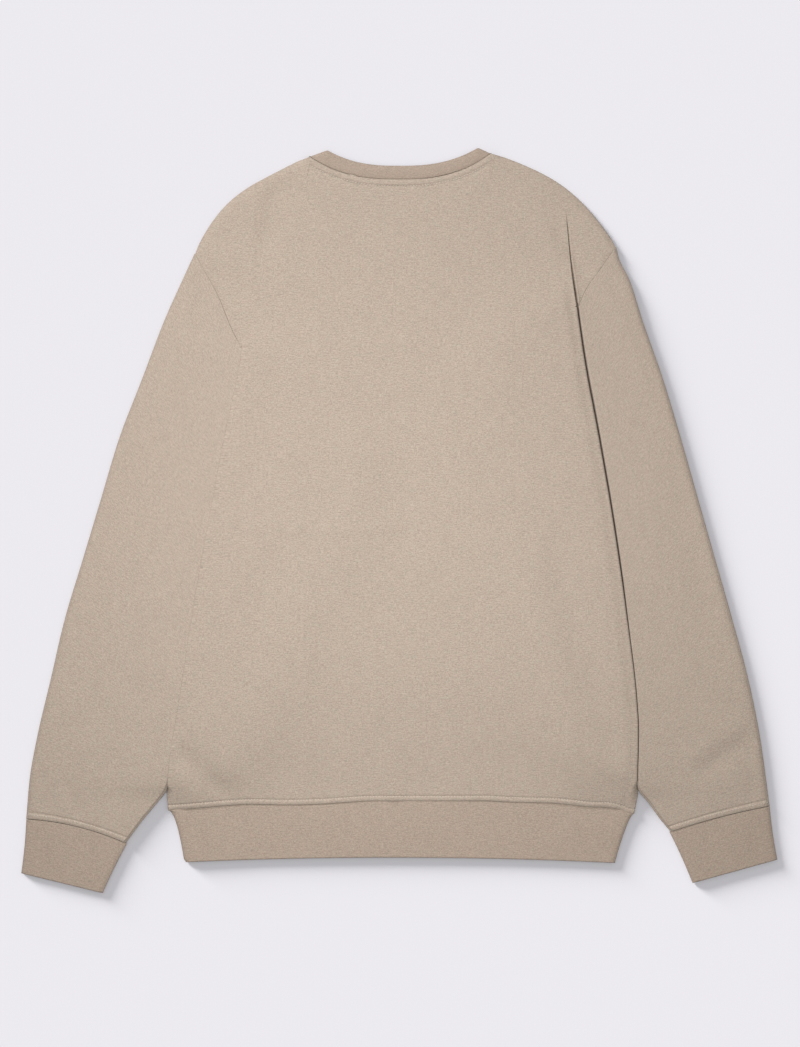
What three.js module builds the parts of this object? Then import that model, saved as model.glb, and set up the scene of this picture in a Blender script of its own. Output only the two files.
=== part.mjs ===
import * as THREE from 'three';

// Crewneck sweatshirt lying flat, back panel up, in millimetres.
// The body is a back and a front panel laid on each other, and each side is folded under along a
// long edge. The sleeves are flattened tubes that start at the armholes and pass under those edges.
// x runs across the garment, y towards the collar and z up. The origin is under the middle of the
// garment's box. Lengths in the tables are laid off as a cutter would: down from the top of the
// collar, and out from the centre line.

// Cloth
const WALL = 1.5;
const AIR = 0.5;
const SEAM_GAP = 0.4;
const SKIN = WALL + AIR / 2;
const CORE = AIR / 2;

// Levels of the middle surface between the two layers of a piece
const FLOOR_LEVEL = SKIN;
const FOLD_RADIUS = 1.875;
const SHELF_LEVEL = FLOOR_LEVEL + 4 * FOLD_RADIUS;
const SINK_WIDTH = 85;

// Frame
const TOP_OF_COLLAR = 372;

// Fold and edge finish
const FOLD_LENGTH = Math.PI * FOLD_RADIUS;
const FOLD_SETBACK = FOLD_RADIUS + SKIN;
const SHORT_TUCK = 2;
const CURL_ANGLES = [0, 32, 62, 85];
const CURL_CLEARANCE = 0.15;
const NECK_SLIDE = 1.8;

// Grid
const NECK_COLUMNS = 4;
const YOKE_COLUMNS = 4;
const FOLD_COLUMNS = 4;
const TUCK_COLUMNS = 4;
const CURL_COLUMNS = CURL_ANGLES.length - 1;
const SLEEVE_STATIONS = 15;

// Sections of one side of the body, from the armhole's top to the hem. edge is the seamed edge of
// the panel, fold the outermost line of the body in plan, bend the angle in degrees that the panel
// turns under at the fold, lift its rise there as a share of the way up to the shelf level, shelf
// how far out it starts to sink towards the centre, mid its rise on the centre line, and rows the
// grid rows to the next section.
const SECTION_COLUMNS = [
  'edgeDown', 'edgeOut', 'foldDown', 'foldOut', 'bend', 'lift', 'shelf', 'mid', 'rows',
];
const EDGE_COLUMNS = ['down', 'out'];
const LEFT_SIDE = table(SECTION_COLUMNS, [
  [106.9, 203.6, 36.6, 144, 0, 0, 120, 0, 2],
  [148, 181, 112, 148, 0, 0.14, 122, 0.05, 2],
  [183, 166.4, 172, 154, 0, 0.63, 130, 0.45, 1],
  [199, 157.6, 199, 157.6, 90, 1, 136, 0.75, 1],
  [214, 146.5, 214, 159.3, 180, 1, 112, 1.05, 2],
  [255, 114, 255, 167.9, 180, 1, 80, 1.75, 2],
  [297, 81.2, 297, 176.8, 180, 1, 48, 2.25, 2],
  [352, 90, 352, 187, 180, 1, 58, 0.75, 2],
  [452, 136, 452, 205, 180, 1, 104, 0, 2],
  [552, 187, 552, 220.3, 180, 1, 150, 0, 2],
  [609, 216, 609, 229.7, 180, 1, 180, 0, 1],
  [627, 226, 627, 231.6, 130, 1, 195, 0, 1],
  [642, 230, 642, 232.5, 60, 0.68, 200, 0, 1],
  [659, 229.4, 659, 231.2, 0, 0, 200, 0, 0],
]);
const RIGHT_SIDE = table(SECTION_COLUMNS, [
  [99.9, 215.7, 39.6, 166, 0, 0, 140, 0, 2],
  [122, 200.3, 94, 171, 0, 0.14, 145, 0.05, 2],
  [143, 185.8, 136, 176, 0, 0.63, 150, 0.45, 1],
  [158.6, 179.1, 158.6, 179.1, 90, 1, 155, 0.75, 1],
  [174, 168, 174, 181.2, 180, 1, 134, 1.05, 2],
  [232, 127, 232, 189.8, 180, 1, 94, 1.75, 2],
  [292, 84.8, 292, 201.4, 180, 1, 52, 2.25, 2],
  [352, 94, 352, 212.2, 180, 1, 62, 0.75, 2],
  [452, 143, 452, 226.6, 180, 1, 110, 0, 2],
  [552, 197, 552, 237.6, 180, 1, 160, 0, 2],
  [609, 226, 609, 240, 180, 1, 190, 0, 1],
  [627, 233, 627, 239.4, 130, 1, 205, 0, 1],
  [642, 237, 642, 238.8, 60, 0.68, 208, 0, 1],
  [665, 232.6, 665, 234.4, 0, 0, 208, 0, 0],
]);
const UNDERARM_SECTION = 6;

// Neck and centre line
const NECK = { down: 12, outLeft: 88.5, outRight: 92.5, backDepth: 32, frontDepth: 99.5 };
const HEM_CENTRE_DOWN = 652;
const HEM_YOKE_DOWN = 656;
const HEM_YOKE_OUT = 95;
const LEVELLING_SECTION = 7;
const HEM_SETTLING_SECTION = 10;
const BACK_NECK_POWER = 3;
const FRONT_NECK_POWER = 2.5;
const SHOULDER_TIP_ROUND = 14;

// Sleeves: the outer edge and the inner edge from the armhole to the cuff seam
const SLEEVE_LEFT = {
  outer: table(EDGE_COLUMNS, [
    [106.1, 205.2], [132, 217.2], [172, 235.2], [232, 258.2], [292, 281.2], [352, 299.2],
    [412, 317.2], [472, 335.2], [532, 349.2], [592, 363.2], [632, 370.2], [670.7, 373.5],
  ]),
  inner: table(EDGE_COLUMNS, [
    [297, 81.2], [352, 104], [452, 148], [532, 187], [592, 214], [612, 226],
    [624, 232.2], [640.6, 234], [656.7, 244.3], [672, 256.9], [694.2, 272.8],
  ]),
  seamRise: 4.5,
};
const SLEEVE_RIGHT = {
  outer: table(EDGE_COLUMNS, [
    [99, 217.3], [112, 220.8], [132, 230.8], [172, 243.8], [232, 264.8], [292, 282.8],
    [352, 299.8], [412, 316.8], [472, 333.8], [532, 349.8], [592, 361.8], [658, 370.8],
  ]),
  inner: table(EDGE_COLUMNS, [
    [292, 84.8], [352, 109], [452, 155], [532, 196], [592, 224], [612, 235],
    [624, 240.6], [640.6, 241], [654.4, 249.6], [669.7, 260.3], [683, 270.8],
  ]),
  seamRise: 0,
};

// Cuffs: corners of each rib tube, outer and inner, at the seam and at the open end
const CUFF_LEFT = {
  seamOuter: { down: 671, out: 373.3 }, seamInner: { down: 694.5, out: 272.7 },
  endOuter: { down: 724.9, out: 378.2 }, endInner: { down: 744, out: 296.3 },
};
const CUFF_RIGHT = {
  seamOuter: { down: 658.3, out: 370.8 }, seamInner: { down: 683.3, out: 270.9 },
  endOuter: { down: 711.3, out: 378.2 }, endInner: { down: 733.9, out: 293.2 },
};
const CUFF_ROWS = 4;

// Hem band
const HEM_END = {
  left: { down: 713.4, out: 215.3 }, right: { down: 714.1, out: 216.2 }, rise: 5,
};
const HEM_ROWS = 4;

// Collar: the ends of its seamed edge and of its free edge, and how far each arc dips between them
const COLLAR = {
  seamLeft: { down: 9.4, out: 86.6 }, seamRight: { down: 8.4, out: 90.6 },
  freeLeft: { down: 2.3, out: 72.5 }, freeRight: { down: 0, out: 79.3 },
  freeBackDepth: 17.7, freeFrontDepth: 79.5,
};
const COLLAR_ROWS = 4;

// Finishes
const JERSEY = { color: 0xc4b3a0, roughness: 0.95, metalness: 0 };
const RIB = { color: 0xb8a693, roughness: 0.95, metalness: 0 };

function table(columns, rows) {
  return rows.map((row) => Object.fromEntries(columns.map((column, i) => [column, row[i]])));
}

function mix(a, b, t) {
  return a + (b - a) * t;
}

function smooth(t) {
  const k = Math.min(1, Math.max(0, t));
  return k * k * (3 - 2 * k);
}

function place(side, out, down, z) {
  return new THREE.Vector3(side * out, TOP_OF_COLLAR - down, z);
}

// One section between two listed ones, where t counts listed sections
function sectionAt(sections, t) {
  const i = Math.min(sections.length - 2, Math.floor(t));
  const k = t - i;
  const a = sections[i];
  const b = sections[i + 1];
  const result = {};
  for (const key of Object.keys(a)) {
    result[key] = mix(a[key], b[key], k);
  }
  return result;
}

function sectionNumberAtDown(sections, down) {
  for (let i = 0; i < sections.length - 1; i += 1) {
    const next = sections[i + 1].edgeDown;
    if (down <= next) {
      const k = (down - sections[i].edgeDown) / (next - sections[i].edgeDown);
      return i + Math.max(0, k);
    }
  }
  return sections.length - 1;
}

// The grid rows of the body, as section numbers shared by both sides
function bodyRows() {
  const rows = [];
  LEFT_SIDE.forEach((section, i) => {
    for (let k = 0; k < section.rows; k += 1) {
      rows.push(i + k / section.rows);
    }
  });
  rows.push(LEFT_SIDE.length - 1);
  return rows;
}

const BODY_ROWS = bodyRows();
const ARMHOLE_ROWS = BODY_ROWS.filter((t) => t <= UNDERARM_SECTION);

// Height of the body's middle surface between the centre line and the fold
function bodyLevel(sections, out, down) {
  const section = sectionAt(sections, sectionNumberAtDown(sections, down));
  const inner = Math.max(0, section.shelf - SINK_WIDTH);
  const high = mix(FLOOR_LEVEL, SHELF_LEVEL, section.lift);
  return mix(FLOOR_LEVEL + section.mid, high, smooth((out - inner) / (section.shelf - inner)));
}

// Depth below the neck's ends of a neckline arc, at a distance out from the centre line
function neckDown(endDown, depth, power, share) {
  return mix(depth, endDown, Math.pow(Math.abs(share), power));
}

// Half a row of the body's middle surface, from the centre line out to the seamed edge
function halfRow(side, sections, t, frontPiece) {
  const section = sectionAt(sections, t);
  const topShare = Math.max(0, 1 - t);
  const levelling = Math.pow(Math.max(0, 1 - t / LEVELLING_SECTION), 1.5);
  const settling = Math.max(0, (t - HEM_SETTLING_SECTION) / (sections.length - 1 - HEM_SETTLING_SECTION));
  const neckOut = side < 0 ? NECK.outLeft : NECK.outRight;
  const depth = frontPiece ? NECK.frontDepth : NECK.backDepth;
  const power = frontPiece ? FRONT_NECK_POWER : BACK_NECK_POWER;
  const centreEdge = (sectionAt(LEFT_SIDE, t).edgeDown + sectionAt(RIGHT_SIDE, t).edgeDown) / 2;
  const centreTop = (LEFT_SIDE[0].edgeDown + RIGHT_SIDE[0].edgeDown) / 2;
  const centreHem = (LEFT_SIDE.at(-1).edgeDown + RIGHT_SIDE.at(-1).edgeDown) / 2;
  const centreDown = centreEdge - (centreTop - depth) * levelling - (centreHem - HEM_CENTRE_DOWN) * settling;
  const yokeRise = (sections[0].edgeDown - NECK.down) * levelling;
  const yokeDown = section.edgeDown - yokeRise - (sections.at(-1).edgeDown - HEM_YOKE_DOWN) * settling;
  const yokeOut = mix(HEM_YOKE_OUT, neckOut, levelling);
  const points = [];

  // centre line to the neck's end
  for (let j = 0; j <= NECK_COLUMNS; j += 1) {
    const share = j / NECK_COLUMNS;
    const out = yokeOut * share;
    const straight = mix(centreDown, yokeDown, share);
    const curved = neckDown(NECK.down, depth, power, share);
    const down = mix(straight, curved, topShare > 0 ? Math.pow(topShare, 1.5) : 0);
    points.push({ out, down, z: bodyLevel(sections, out, down), nx: 0, nz: 1, dx: 1, dz: 0, topCurl: 0 });
  }

  // neck's end to the start of the fold
  const bend = THREE.MathUtils.degToRad(section.bend);
  const armholeRow = section.bend === 0 && t < UNDERARM_SECTION;
  const radius = bend > 0.01 ? FOLD_LENGTH / bend : 0;
  let foldOut = section.foldOut - FOLD_SETBACK;
  let tuck = SHORT_TUCK;
  if (!armholeRow) {
    if (section.bend >= 90) {
      foldOut = section.foldOut - SKIN - radius;
    } else {
      const run = bend > 0.01 ? radius * Math.sin(bend) : FOLD_LENGTH;
      foldOut = section.foldOut - SKIN - run - tuck * Math.cos(bend);
    }
  }
  if (section.bend >= 170) {
    tuck = foldOut - section.edgeOut;
  }
  const foldDown = section.foldDown;
  for (let j = 1; j <= YOKE_COLUMNS; j += 1) {
    const share = j / YOKE_COLUMNS;
    const out = mix(yokeOut, foldOut, share);
    const down = mix(yokeDown, foldDown, share);
    points.push({ out, down, z: bodyLevel(sections, out, down), nx: 0, nz: 1, dx: 1, dz: 0, topCurl: 1 });
  }
  const start = points.at(-1);

  // round the fold and along the tucked part to the seamed edge
  if (armholeRow) {
    const edgeOut = section.edgeOut - SEAM_GAP / 2;
    const steps = FOLD_COLUMNS + TUCK_COLUMNS;
    tuck = (edgeOut - start.out) * TUCK_COLUMNS / steps;
    for (let j = 1; j <= steps; j += 1) {
      const share = j / steps;
      const round = 4 * share * (1 - share) * SHOULDER_TIP_ROUND * topShare * topShare;
      const down = mix(start.down, section.edgeDown, share) - round;
      const z = mix(start.z, FLOOR_LEVEL, smooth(share));
      points.push({ out: mix(start.out, edgeOut, share), down, z, nx: 0, nz: 1, dx: 1, dz: 0, topCurl: 1 });
    }
  } else {
    for (let j = 1; j <= FOLD_COLUMNS; j += 1) {
      const angle = bend * j / FOLD_COLUMNS;
      const run = bend > 0.01 ? radius * Math.sin(angle) : FOLD_LENGTH * j / FOLD_COLUMNS;
      const drop = bend > 0.01 ? radius * (1 - Math.cos(angle)) : 0;
      points.push({
        out: start.out + run, down: start.down, z: start.z - drop,
        nx: Math.sin(angle), nz: Math.cos(angle), dx: Math.cos(angle), dz: -Math.sin(angle), topCurl: 1,
      });
    }
    const turned = points.at(-1);
    for (let j = 1; j <= TUCK_COLUMNS; j += 1) {
      const along = tuck * j / TUCK_COLUMNS;
      points.push({ ...turned, out: turned.out + turned.dx * along, z: turned.z + turned.dz * along });
    }
  }

  // the seamed edge, cut flat at the armhole and curled in at the side seam
  const edge = points.at(-1);
  const sideCurl = smooth((t - UNDERARM_SECTION) * 2);
  const slideStep = 0.75 * tuck / TUCK_COLUMNS;
  edge.sideAngle = 0;
  edge.sideSlide = -slideStep * (1 - sideCurl);
  for (let j = 1; j <= CURL_COLUMNS; j += 1) {
    points.push({
      ...edge,
      sideAngle: THREE.MathUtils.degToRad(CURL_ANGLES[j]) * sideCurl,
      sideSlide: -slideStep * (1 - j / CURL_COLUMNS) * (1 - sideCurl),
    });
  }
  return points.map((point) => ({
    ...point,
    position: place(side, point.out, point.down, point.z),
    normal: new THREE.Vector3(side * point.nx, 0, point.nz),
    outward: new THREE.Vector3(side * point.dx, 0, point.dz),
  }));
}

function bodyRow(t, frontPiece) {
  const left = halfRow(-1, LEFT_SIDE, t, frontPiece).reverse();
  const right = halfRow(1, RIGHT_SIDE, t, frontPiece);
  return left.concat(right.slice(1));
}

// Direction out of the panel's top edge at each column
function topDirections(row) {
  return row.map((point, j) => {
    const before = row[Math.max(0, j - 1)].position;
    const after = row[Math.min(row.length - 1, j + 1)].position;
    const along = new THREE.Vector3(after.x - before.x, after.y - before.y, 0);
    if (along.lengthSq() < 1e-9) {
      return new THREE.Vector3(0, 1, 0);
    }
    along.normalize();
    return new THREE.Vector3(-along.y, along.x, 0);
  });
}

// A layer of a panel, face apart from the middle surface by reach, above it or below it
function panelLayer(rows, reach, facing) {
  const directions = topDirections(rows[0]);
  const grid = [];
  for (let b = CURL_COLUMNS; b >= 0; b -= 1) {
    grid.push(rows[0].map((point, j) => {
      const topAngle = THREE.MathUtils.degToRad(CURL_ANGLES[b]) * point.topCurl;
      const topSlide = -NECK_SLIDE * (1 - b / CURL_COLUMNS) * (1 - point.topCurl);
      return finish(point, directions[j], topAngle, topSlide, reach, facing);
    }));
  }
  for (const row of rows.slice(1)) {
    grid.push(row.map((point, j) => finish(point, directions[j], 0, 0, reach, facing)));
  }
  return grid;
}

function finish(point, topDirection, topAngle, topSlide, reach, facing) {
  const sideAngle = point.sideAngle ?? 0;
  const sideSlide = point.sideSlide ?? 0;
  const lift = Math.max(reach * Math.cos(sideAngle) * Math.cos(topAngle), CURL_CLEARANCE);
  return point.position.clone()
    .addScaledVector(point.normal, facing * lift)
    .addScaledVector(point.outward, sideSlide + reach * Math.sin(sideAngle))
    .addScaledVector(topDirection, topSlide + reach * Math.sin(topAngle));
}

function meshFromTriangles(name, points, triangles, finishing) {
  let volume = 0;
  for (const [a, b, c] of triangles) {
    volume += points[a].dot(points[b].clone().cross(points[c]));
  }
  const positions = [];
  for (const [a, b, c] of triangles) {
    const order = volume > 0 ? [a, b, c] : [a, c, b];
    for (const index of order) {
      positions.push(points[index].x, points[index].y, points[index].z);
    }
  }
  const geometry = new THREE.BufferGeometry();
  geometry.setAttribute('position', new THREE.Float32BufferAttribute(positions, 3));
  geometry.computeVertexNormals();
  const mesh = new THREE.Mesh(geometry, new THREE.MeshStandardMaterial(finishing));
  mesh.name = name;
  return mesh;
}

// A wall between two grids of points of the same size. A closed one joins its last column to its
// first, as a tube does, and each free border gets an edge face between the two grids.
function wallFromGrids(name, outer, inner, closed, finishing) {
  const rowCount = outer.length;
  const columnCount = outer[0].length;
  const points = [...outer.flat(), ...inner.flat()];
  const half = rowCount * columnCount;
  const at = (layer, i, j) => layer * half + i * columnCount + (j % columnCount);
  const triangles = [];
  const addQuad = (a, b, c, d) => triangles.push([a, b, c], [a, c, d]);
  const spans = closed ? columnCount : columnCount - 1;
  for (let j = 0; j < spans; j += 1) {
    for (let i = 0; i < rowCount - 1; i += 1) {
      addQuad(at(0, i, j), at(0, i + 1, j), at(0, i + 1, j + 1), at(0, i, j + 1));
      addQuad(at(1, i, j), at(1, i, j + 1), at(1, i + 1, j + 1), at(1, i + 1, j));
    }
    const end = rowCount - 1;
    addQuad(at(0, 0, j), at(0, 0, j + 1), at(1, 0, j + 1), at(1, 0, j));
    addQuad(at(0, end, j), at(1, end, j), at(1, end, j + 1), at(0, end, j + 1));
  }
  if (!closed) {
    for (let i = 0; i < rowCount - 1; i += 1) {
      addQuad(at(0, i, 0), at(1, i, 0), at(1, i + 1, 0), at(0, i + 1, 0));
      addQuad(at(0, i, spans), at(0, i + 1, spans), at(1, i + 1, spans), at(1, i, spans));
    }
  }
  return meshFromTriangles(name, points, triangles, finishing);
}

// A flattened ring: the upper curve, a round turn, the lower curve back, and a round turn
function flatRing(upper, lower, reach) {
  const first = upper[0];
  const last = upper.at(-1);
  const across = last.clone().sub(first).setZ(0).normalize();
  const ring = upper.map((point) => point.clone().setZ(point.z + reach));
  const turn = (centre, direction, startAngle) => {
    for (const angle of [45, 90, 135]) {
      const radians = THREE.MathUtils.degToRad(startAngle + angle);
      ring.push(centre.clone()
        .addScaledVector(direction, reach * Math.sin(radians))
        .setZ(centre.z + reach * Math.cos(radians)));
    }
  };
  turn(last, across, 0);
  ring.push(...lower.slice().reverse().map((point) => point.clone().setZ(point.z - reach)));
  turn(first, across, 180);
  return ring;
}

function flatTube(name, stations, finishing) {
  const outer = stations.map((station) => flatRing(station.upper, station.lower, SKIN));
  const inner = stations.map((station) => flatRing(station.upper, station.lower, CORE));
  return wallFromGrids(name, outer, inner, true, finishing);
}

function alongTable(table, share) {
  const first = table[0].down;
  const down = mix(first, table.at(-1).down, share);
  let i = 0;
  while (i < table.length - 2 && table[i + 1].down < down) {
    i += 1;
  }
  const k = (down - table[i].down) / (table[i + 1].down - table[i].down);
  return { down, out: mix(table[i].out, table[i + 1].out, k) };
}

const BACK_ROWS = BODY_ROWS.map((t) => bodyRow(t, false));
const FRONT_ROWS = BODY_ROWS.map((t) => bodyRow(t, true));

function panel(name, rows, facing) {
  const outer = panelLayer(rows, SKIN, facing);
  const inner = panelLayer(rows, CORE, facing);
  return wallFromGrids(name, outer, inner, false, JERSEY);
}

// A sleeve from the armhole seam, whose points it shares with the body, to the cuff seam
function sleeve(name, side, sections, shape) {
  const seam = ARMHOLE_ROWS.map((t) => sectionAt(sections, t));
  const count = seam.length - 1;
  const stations = [];
  for (let i = 0; i < SLEEVE_STATIONS; i += 1) {
    const share = i / (SLEEVE_STATIONS - 1);
    const outerEdge = alongTable(shape.outer, share);
    const innerEdge = alongTable(shape.inner, share);
    const armhole = Math.pow(Math.max(0, 1 - share * 4), 2);
    const cuffSeam = Math.pow(share, 8);
    const inset = SKIN * 1.08;
    const line = seam.map((section, j) => {
      const k = j / count;
      const out = mix(outerEdge.out - inset, innerEdge.out + inset * share, k);
      const down = mix(outerEdge.down, innerEdge.down, k) - 4 * k * (1 - k) * shape.seamRise * cuffSeam;
      const seamOut = section.edgeOut + SEAM_GAP / 2;
      return place(side, mix(out, seamOut, armhole), mix(down, section.edgeDown, armhole), FLOOR_LEVEL);
    });
    stations.push({ upper: line, lower: line });
  }
  return flatTube(name, stations, JERSEY);
}

function cuff(name, side, shape, seamRise) {
  const count = ARMHOLE_ROWS.length - 1;
  const stations = [];
  for (let i = 0; i < CUFF_ROWS; i += 1) {
    const share = i / (CUFF_ROWS - 1);
    const line = [];
    for (let j = 0; j <= count; j += 1) {
      const k = j / count;
      const inset = mix(-SKIN, SKIN, k);
      const seamOut = mix(shape.seamOuter.out, shape.seamInner.out, k);
      const seamDown = mix(shape.seamOuter.down, shape.seamInner.down, k) - 4 * k * (1 - k) * seamRise;
      const endOut = mix(shape.endOuter.out, shape.endInner.out, k);
      const endDown = mix(shape.endOuter.down, shape.endInner.down, k);
      line.push(place(side, mix(seamOut, endOut, share) + inset, mix(seamDown, endDown, share), FLOOR_LEVEL));
    }
    stations.push({ upper: line, lower: line });
  }
  return flatTube(name, stations, RIB);
}

// The hem band shares the points of the body's last row
function hemBand() {
  const seamLine = BACK_ROWS.at(-1)
    .filter((point) => (point.sideAngle ?? 0) === 0)
    .filter((point, j, all) => j === 0 || j === all.length - 1 || j % 2 === 0)
    .map((point) => point.position.clone().setY(point.position.y - SEAM_GAP));
  const first = seamLine[0].x;
  const width = seamLine.at(-1).x - first;
  const stations = [];
  for (let i = 0; i < HEM_ROWS; i += 1) {
    const share = i / (HEM_ROWS - 1);
    const line = seamLine.map((point) => {
      const k = (point.x - first) / width;
      const endX = mix(-HEM_END.left.out + SKIN, HEM_END.right.out - SKIN, k);
      const endDown = mix(HEM_END.left.down, HEM_END.right.down, k) - 4 * k * (1 - k) * HEM_END.rise;
      const endY = TOP_OF_COLLAR - endDown;
      return new THREE.Vector3(mix(point.x, endX, share), mix(point.y, endY, share), FLOOR_LEVEL);
    });
    stations.push({ upper: line, lower: line });
  }
  return flatTube('hem_band', stations, RIB);
}

function collarArc(share, depthAtSeam, depthAtFree, power) {
  const line = [];
  for (let j = -NECK_COLUMNS; j <= NECK_COLUMNS; j += 1) {
    const k = Math.abs(j) / NECK_COLUMNS;
    const side = j < 0 ? -1 : 1;
    const seam = side < 0 ? COLLAR.seamLeft : COLLAR.seamRight;
    const free = side < 0 ? COLLAR.freeLeft : COLLAR.freeRight;
    const seamDown = neckDown(seam.down, depthAtSeam - SEAM_GAP, power, k);
    const freeDown = neckDown(free.down, depthAtFree, power, k);
    const out = mix(seam.out, free.out, share) * k;
    line.push(place(side, out, mix(seamDown, freeDown, share), FLOOR_LEVEL));
  }
  return line;
}

function collar() {
  const stations = [];
  for (let i = 0; i < COLLAR_ROWS; i += 1) {
    const share = i / (COLLAR_ROWS - 1);
    const upper = collarArc(share, NECK.backDepth, COLLAR.freeBackDepth, BACK_NECK_POWER);
    const lower = collarArc(share, NECK.frontDepth, COLLAR.freeFrontDepth, FRONT_NECK_POWER);
    stations.push({ upper, lower });
  }
  return flatTube('collar', stations, RIB);
}

const sweatshirt = new THREE.Group();
sweatshirt.add(panel('back', BACK_ROWS, 1));
sweatshirt.add(panel('front', FRONT_ROWS, -1));
sweatshirt.add(sleeve('sleeve_left', -1, LEFT_SIDE, SLEEVE_LEFT));
sweatshirt.add(sleeve('sleeve_right', 1, RIGHT_SIDE, SLEEVE_RIGHT));
sweatshirt.add(cuff('cuff_left', -1, CUFF_LEFT, SLEEVE_LEFT.seamRise));
sweatshirt.add(cuff('cuff_right', 1, CUFF_RIGHT, SLEEVE_RIGHT.seamRise));
sweatshirt.add(hemBand());
sweatshirt.add(collar());

export default sweatshirt;
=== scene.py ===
import math

import bmesh
import bpy
import numpy as np
from bpy.props import FloatProperty, FloatVectorProperty, PointerProperty
from mathutils import Matrix, Vector
from mathutils.bvhtree import BVHTree


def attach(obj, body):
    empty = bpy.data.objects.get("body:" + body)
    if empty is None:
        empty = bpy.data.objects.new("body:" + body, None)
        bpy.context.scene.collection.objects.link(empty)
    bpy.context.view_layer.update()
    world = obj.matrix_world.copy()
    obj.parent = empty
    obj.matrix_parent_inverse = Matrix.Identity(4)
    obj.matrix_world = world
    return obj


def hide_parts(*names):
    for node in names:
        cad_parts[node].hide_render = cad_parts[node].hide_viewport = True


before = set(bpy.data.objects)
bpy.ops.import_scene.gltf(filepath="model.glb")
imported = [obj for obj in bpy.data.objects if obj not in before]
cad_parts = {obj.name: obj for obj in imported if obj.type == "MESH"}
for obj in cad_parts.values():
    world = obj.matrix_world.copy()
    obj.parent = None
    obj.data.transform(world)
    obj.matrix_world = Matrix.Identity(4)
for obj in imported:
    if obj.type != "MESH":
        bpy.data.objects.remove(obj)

bl_info = {
    "name": "Laid-out crewneck sweatshirt",
    "version": (1, 0, 0),
    "blender": (4, 5, 0),
    "location": "3D View > Sidebar > Sweatshirt",
    "description": "Dresses a flat crewneck sweatshirt in heather jersey, rib bands and topstitching",
    "category": "Object",
}

# The cut of the garment, in millimetres. Lengths are laid off down from the top of the collar and
# out from the centre line. Left is -1 and right is 1.
MM = 0.001
TOP_OF_COLLAR = 372.0
WALL = 1.5
AIR = 0.5
SKIN = WALL + AIR / 2
FLOOR_LEVEL = SKIN
FOLD_RADIUS = 1.875
FOLD_LENGTH = math.pi * FOLD_RADIUS
SHELF_RISE = 4 * FOLD_RADIUS
SINK_WIDTH = 85.0
SHORT_TUCK = 2.0
LEAST_BEND = 0.01

# Sections of each side from the shoulder to the hem: edge and fold, degrees of bend, and heights
SECTION_COLUMNS = ("edge_down", "edge_out", "fold_down", "fold_out", "bend", "lift", "shelf", "mid")
LEFT_ROWS = (
    (106.9, 203.6, 36.6, 144, 0, 0, 120, 0),
    (148, 181, 112, 148, 0, 0.14, 122, 0.05),
    (183, 166.4, 172, 154, 0, 0.63, 130, 0.45),
    (199, 157.6, 199, 157.6, 90, 1, 136, 0.75),
    (214, 146.5, 214, 159.3, 180, 1, 112, 1.05),
    (255, 114, 255, 167.9, 180, 1, 80, 1.75),
    (297, 81.2, 297, 176.8, 180, 1, 48, 2.25),
    (352, 90, 352, 187, 180, 1, 58, 0.75),
    (452, 136, 452, 205, 180, 1, 104, 0),
    (552, 187, 552, 220.3, 180, 1, 150, 0),
    (609, 216, 609, 229.7, 180, 1, 180, 0),
    (627, 226, 627, 231.6, 130, 1, 195, 0),
    (642, 230, 642, 232.5, 44, 0.68, 200, 0),
    (659, 229.4, 659, 231.2, 0, 0, 200, 0),
)
RIGHT_ROWS = (
    (99.9, 215.7, 39.6, 166, 0, 0, 140, 0),
    (122, 200.3, 94, 171, 0, 0.14, 145, 0.05),
    (143, 185.8, 136, 176, 0, 0.63, 150, 0.45),
    (158.6, 179.1, 158.6, 179.1, 90, 1, 155, 0.75),
    (174, 168, 174, 181.2, 180, 1, 134, 1.05),
    (232, 127, 232, 189.8, 180, 1, 94, 1.75),
    (292, 84.8, 292, 201.4, 180, 1, 52, 2.25),
    (352, 94, 352, 212.2, 180, 1, 62, 0.75),
    (452, 143, 452, 226.6, 180, 1, 110, 0),
    (552, 197, 552, 237.6, 180, 1, 160, 0),
    (609, 226, 609, 240, 180, 1, 190, 0),
    (627, 233, 627, 239.4, 130, 1, 205, 0),
    (642, 237, 642, 238.8, 44, 0.68, 208, 0),
    (665, 232.6, 665, 234.4, 0, 0, 208, 0),
)
FLAT_SECTION = 2
CROSSING_SECTION = 3
CROSSING_SPAN = 0.04
UNDERARM_SECTION = 6
LEVELLING_SECTION = 7
HEM_SETTLING_SECTION = 10
LAST_SECTION = len(LEFT_ROWS) - 1

NECK_DOWN = {-1: 8.5, 1: 5.1}
NECK_OUT = {-1: 89.5, 1: 91.9}
NECK_DEPTH = {"back": 30.8, "front": 99.3}
NECK_POWER = {"back": 2.6, "front": 2.5}
HEM_CENTRE_DOWN = 652.0
HEM_YOKE_DOWN = 656.0
HEM_YOKE_OUT = 95.0

# Shoulder lines from the neck to the armhole, and the hem seam from left to right: (down, out)
SHOULDERS = {
    -1: (
        (9.2, 89.5), (15.9, 104.2), (23.5, 119.2), (31.3, 134.2), (39.6, 149.1), (49.6, 163.9),
        (61.5, 176.7), (76.7, 188.5), (90.1, 196.5), (102, 202.2), (106.9, 203.6),
    ),
    1: (
        (5.8, 91.9), (10.2, 104.4), (16, 119.3), (22.5, 134.3), (30.1, 149.1), (39.7, 164),
        (51.8, 178.8), (63.8, 190.7), (78.2, 202.6), (89.3, 210.6), (96.5, 214.8), (99.9, 215.7),
    ),
}
HEM_SEAM = (
    (661.8, -230), (660.2, -211), (656.6, -167), (655.8, -150), (656.6, -110), (655.8, -80), (654, -52),
    (652.6, -28), (652.6, 40), (652.4, 85), (653.8, 115), (654.4, 150), (656.2, 173), (658, 190),
    (658.4, 206), (660.4, 219), (664.6, 229), (665.4, 233),
)

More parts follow.
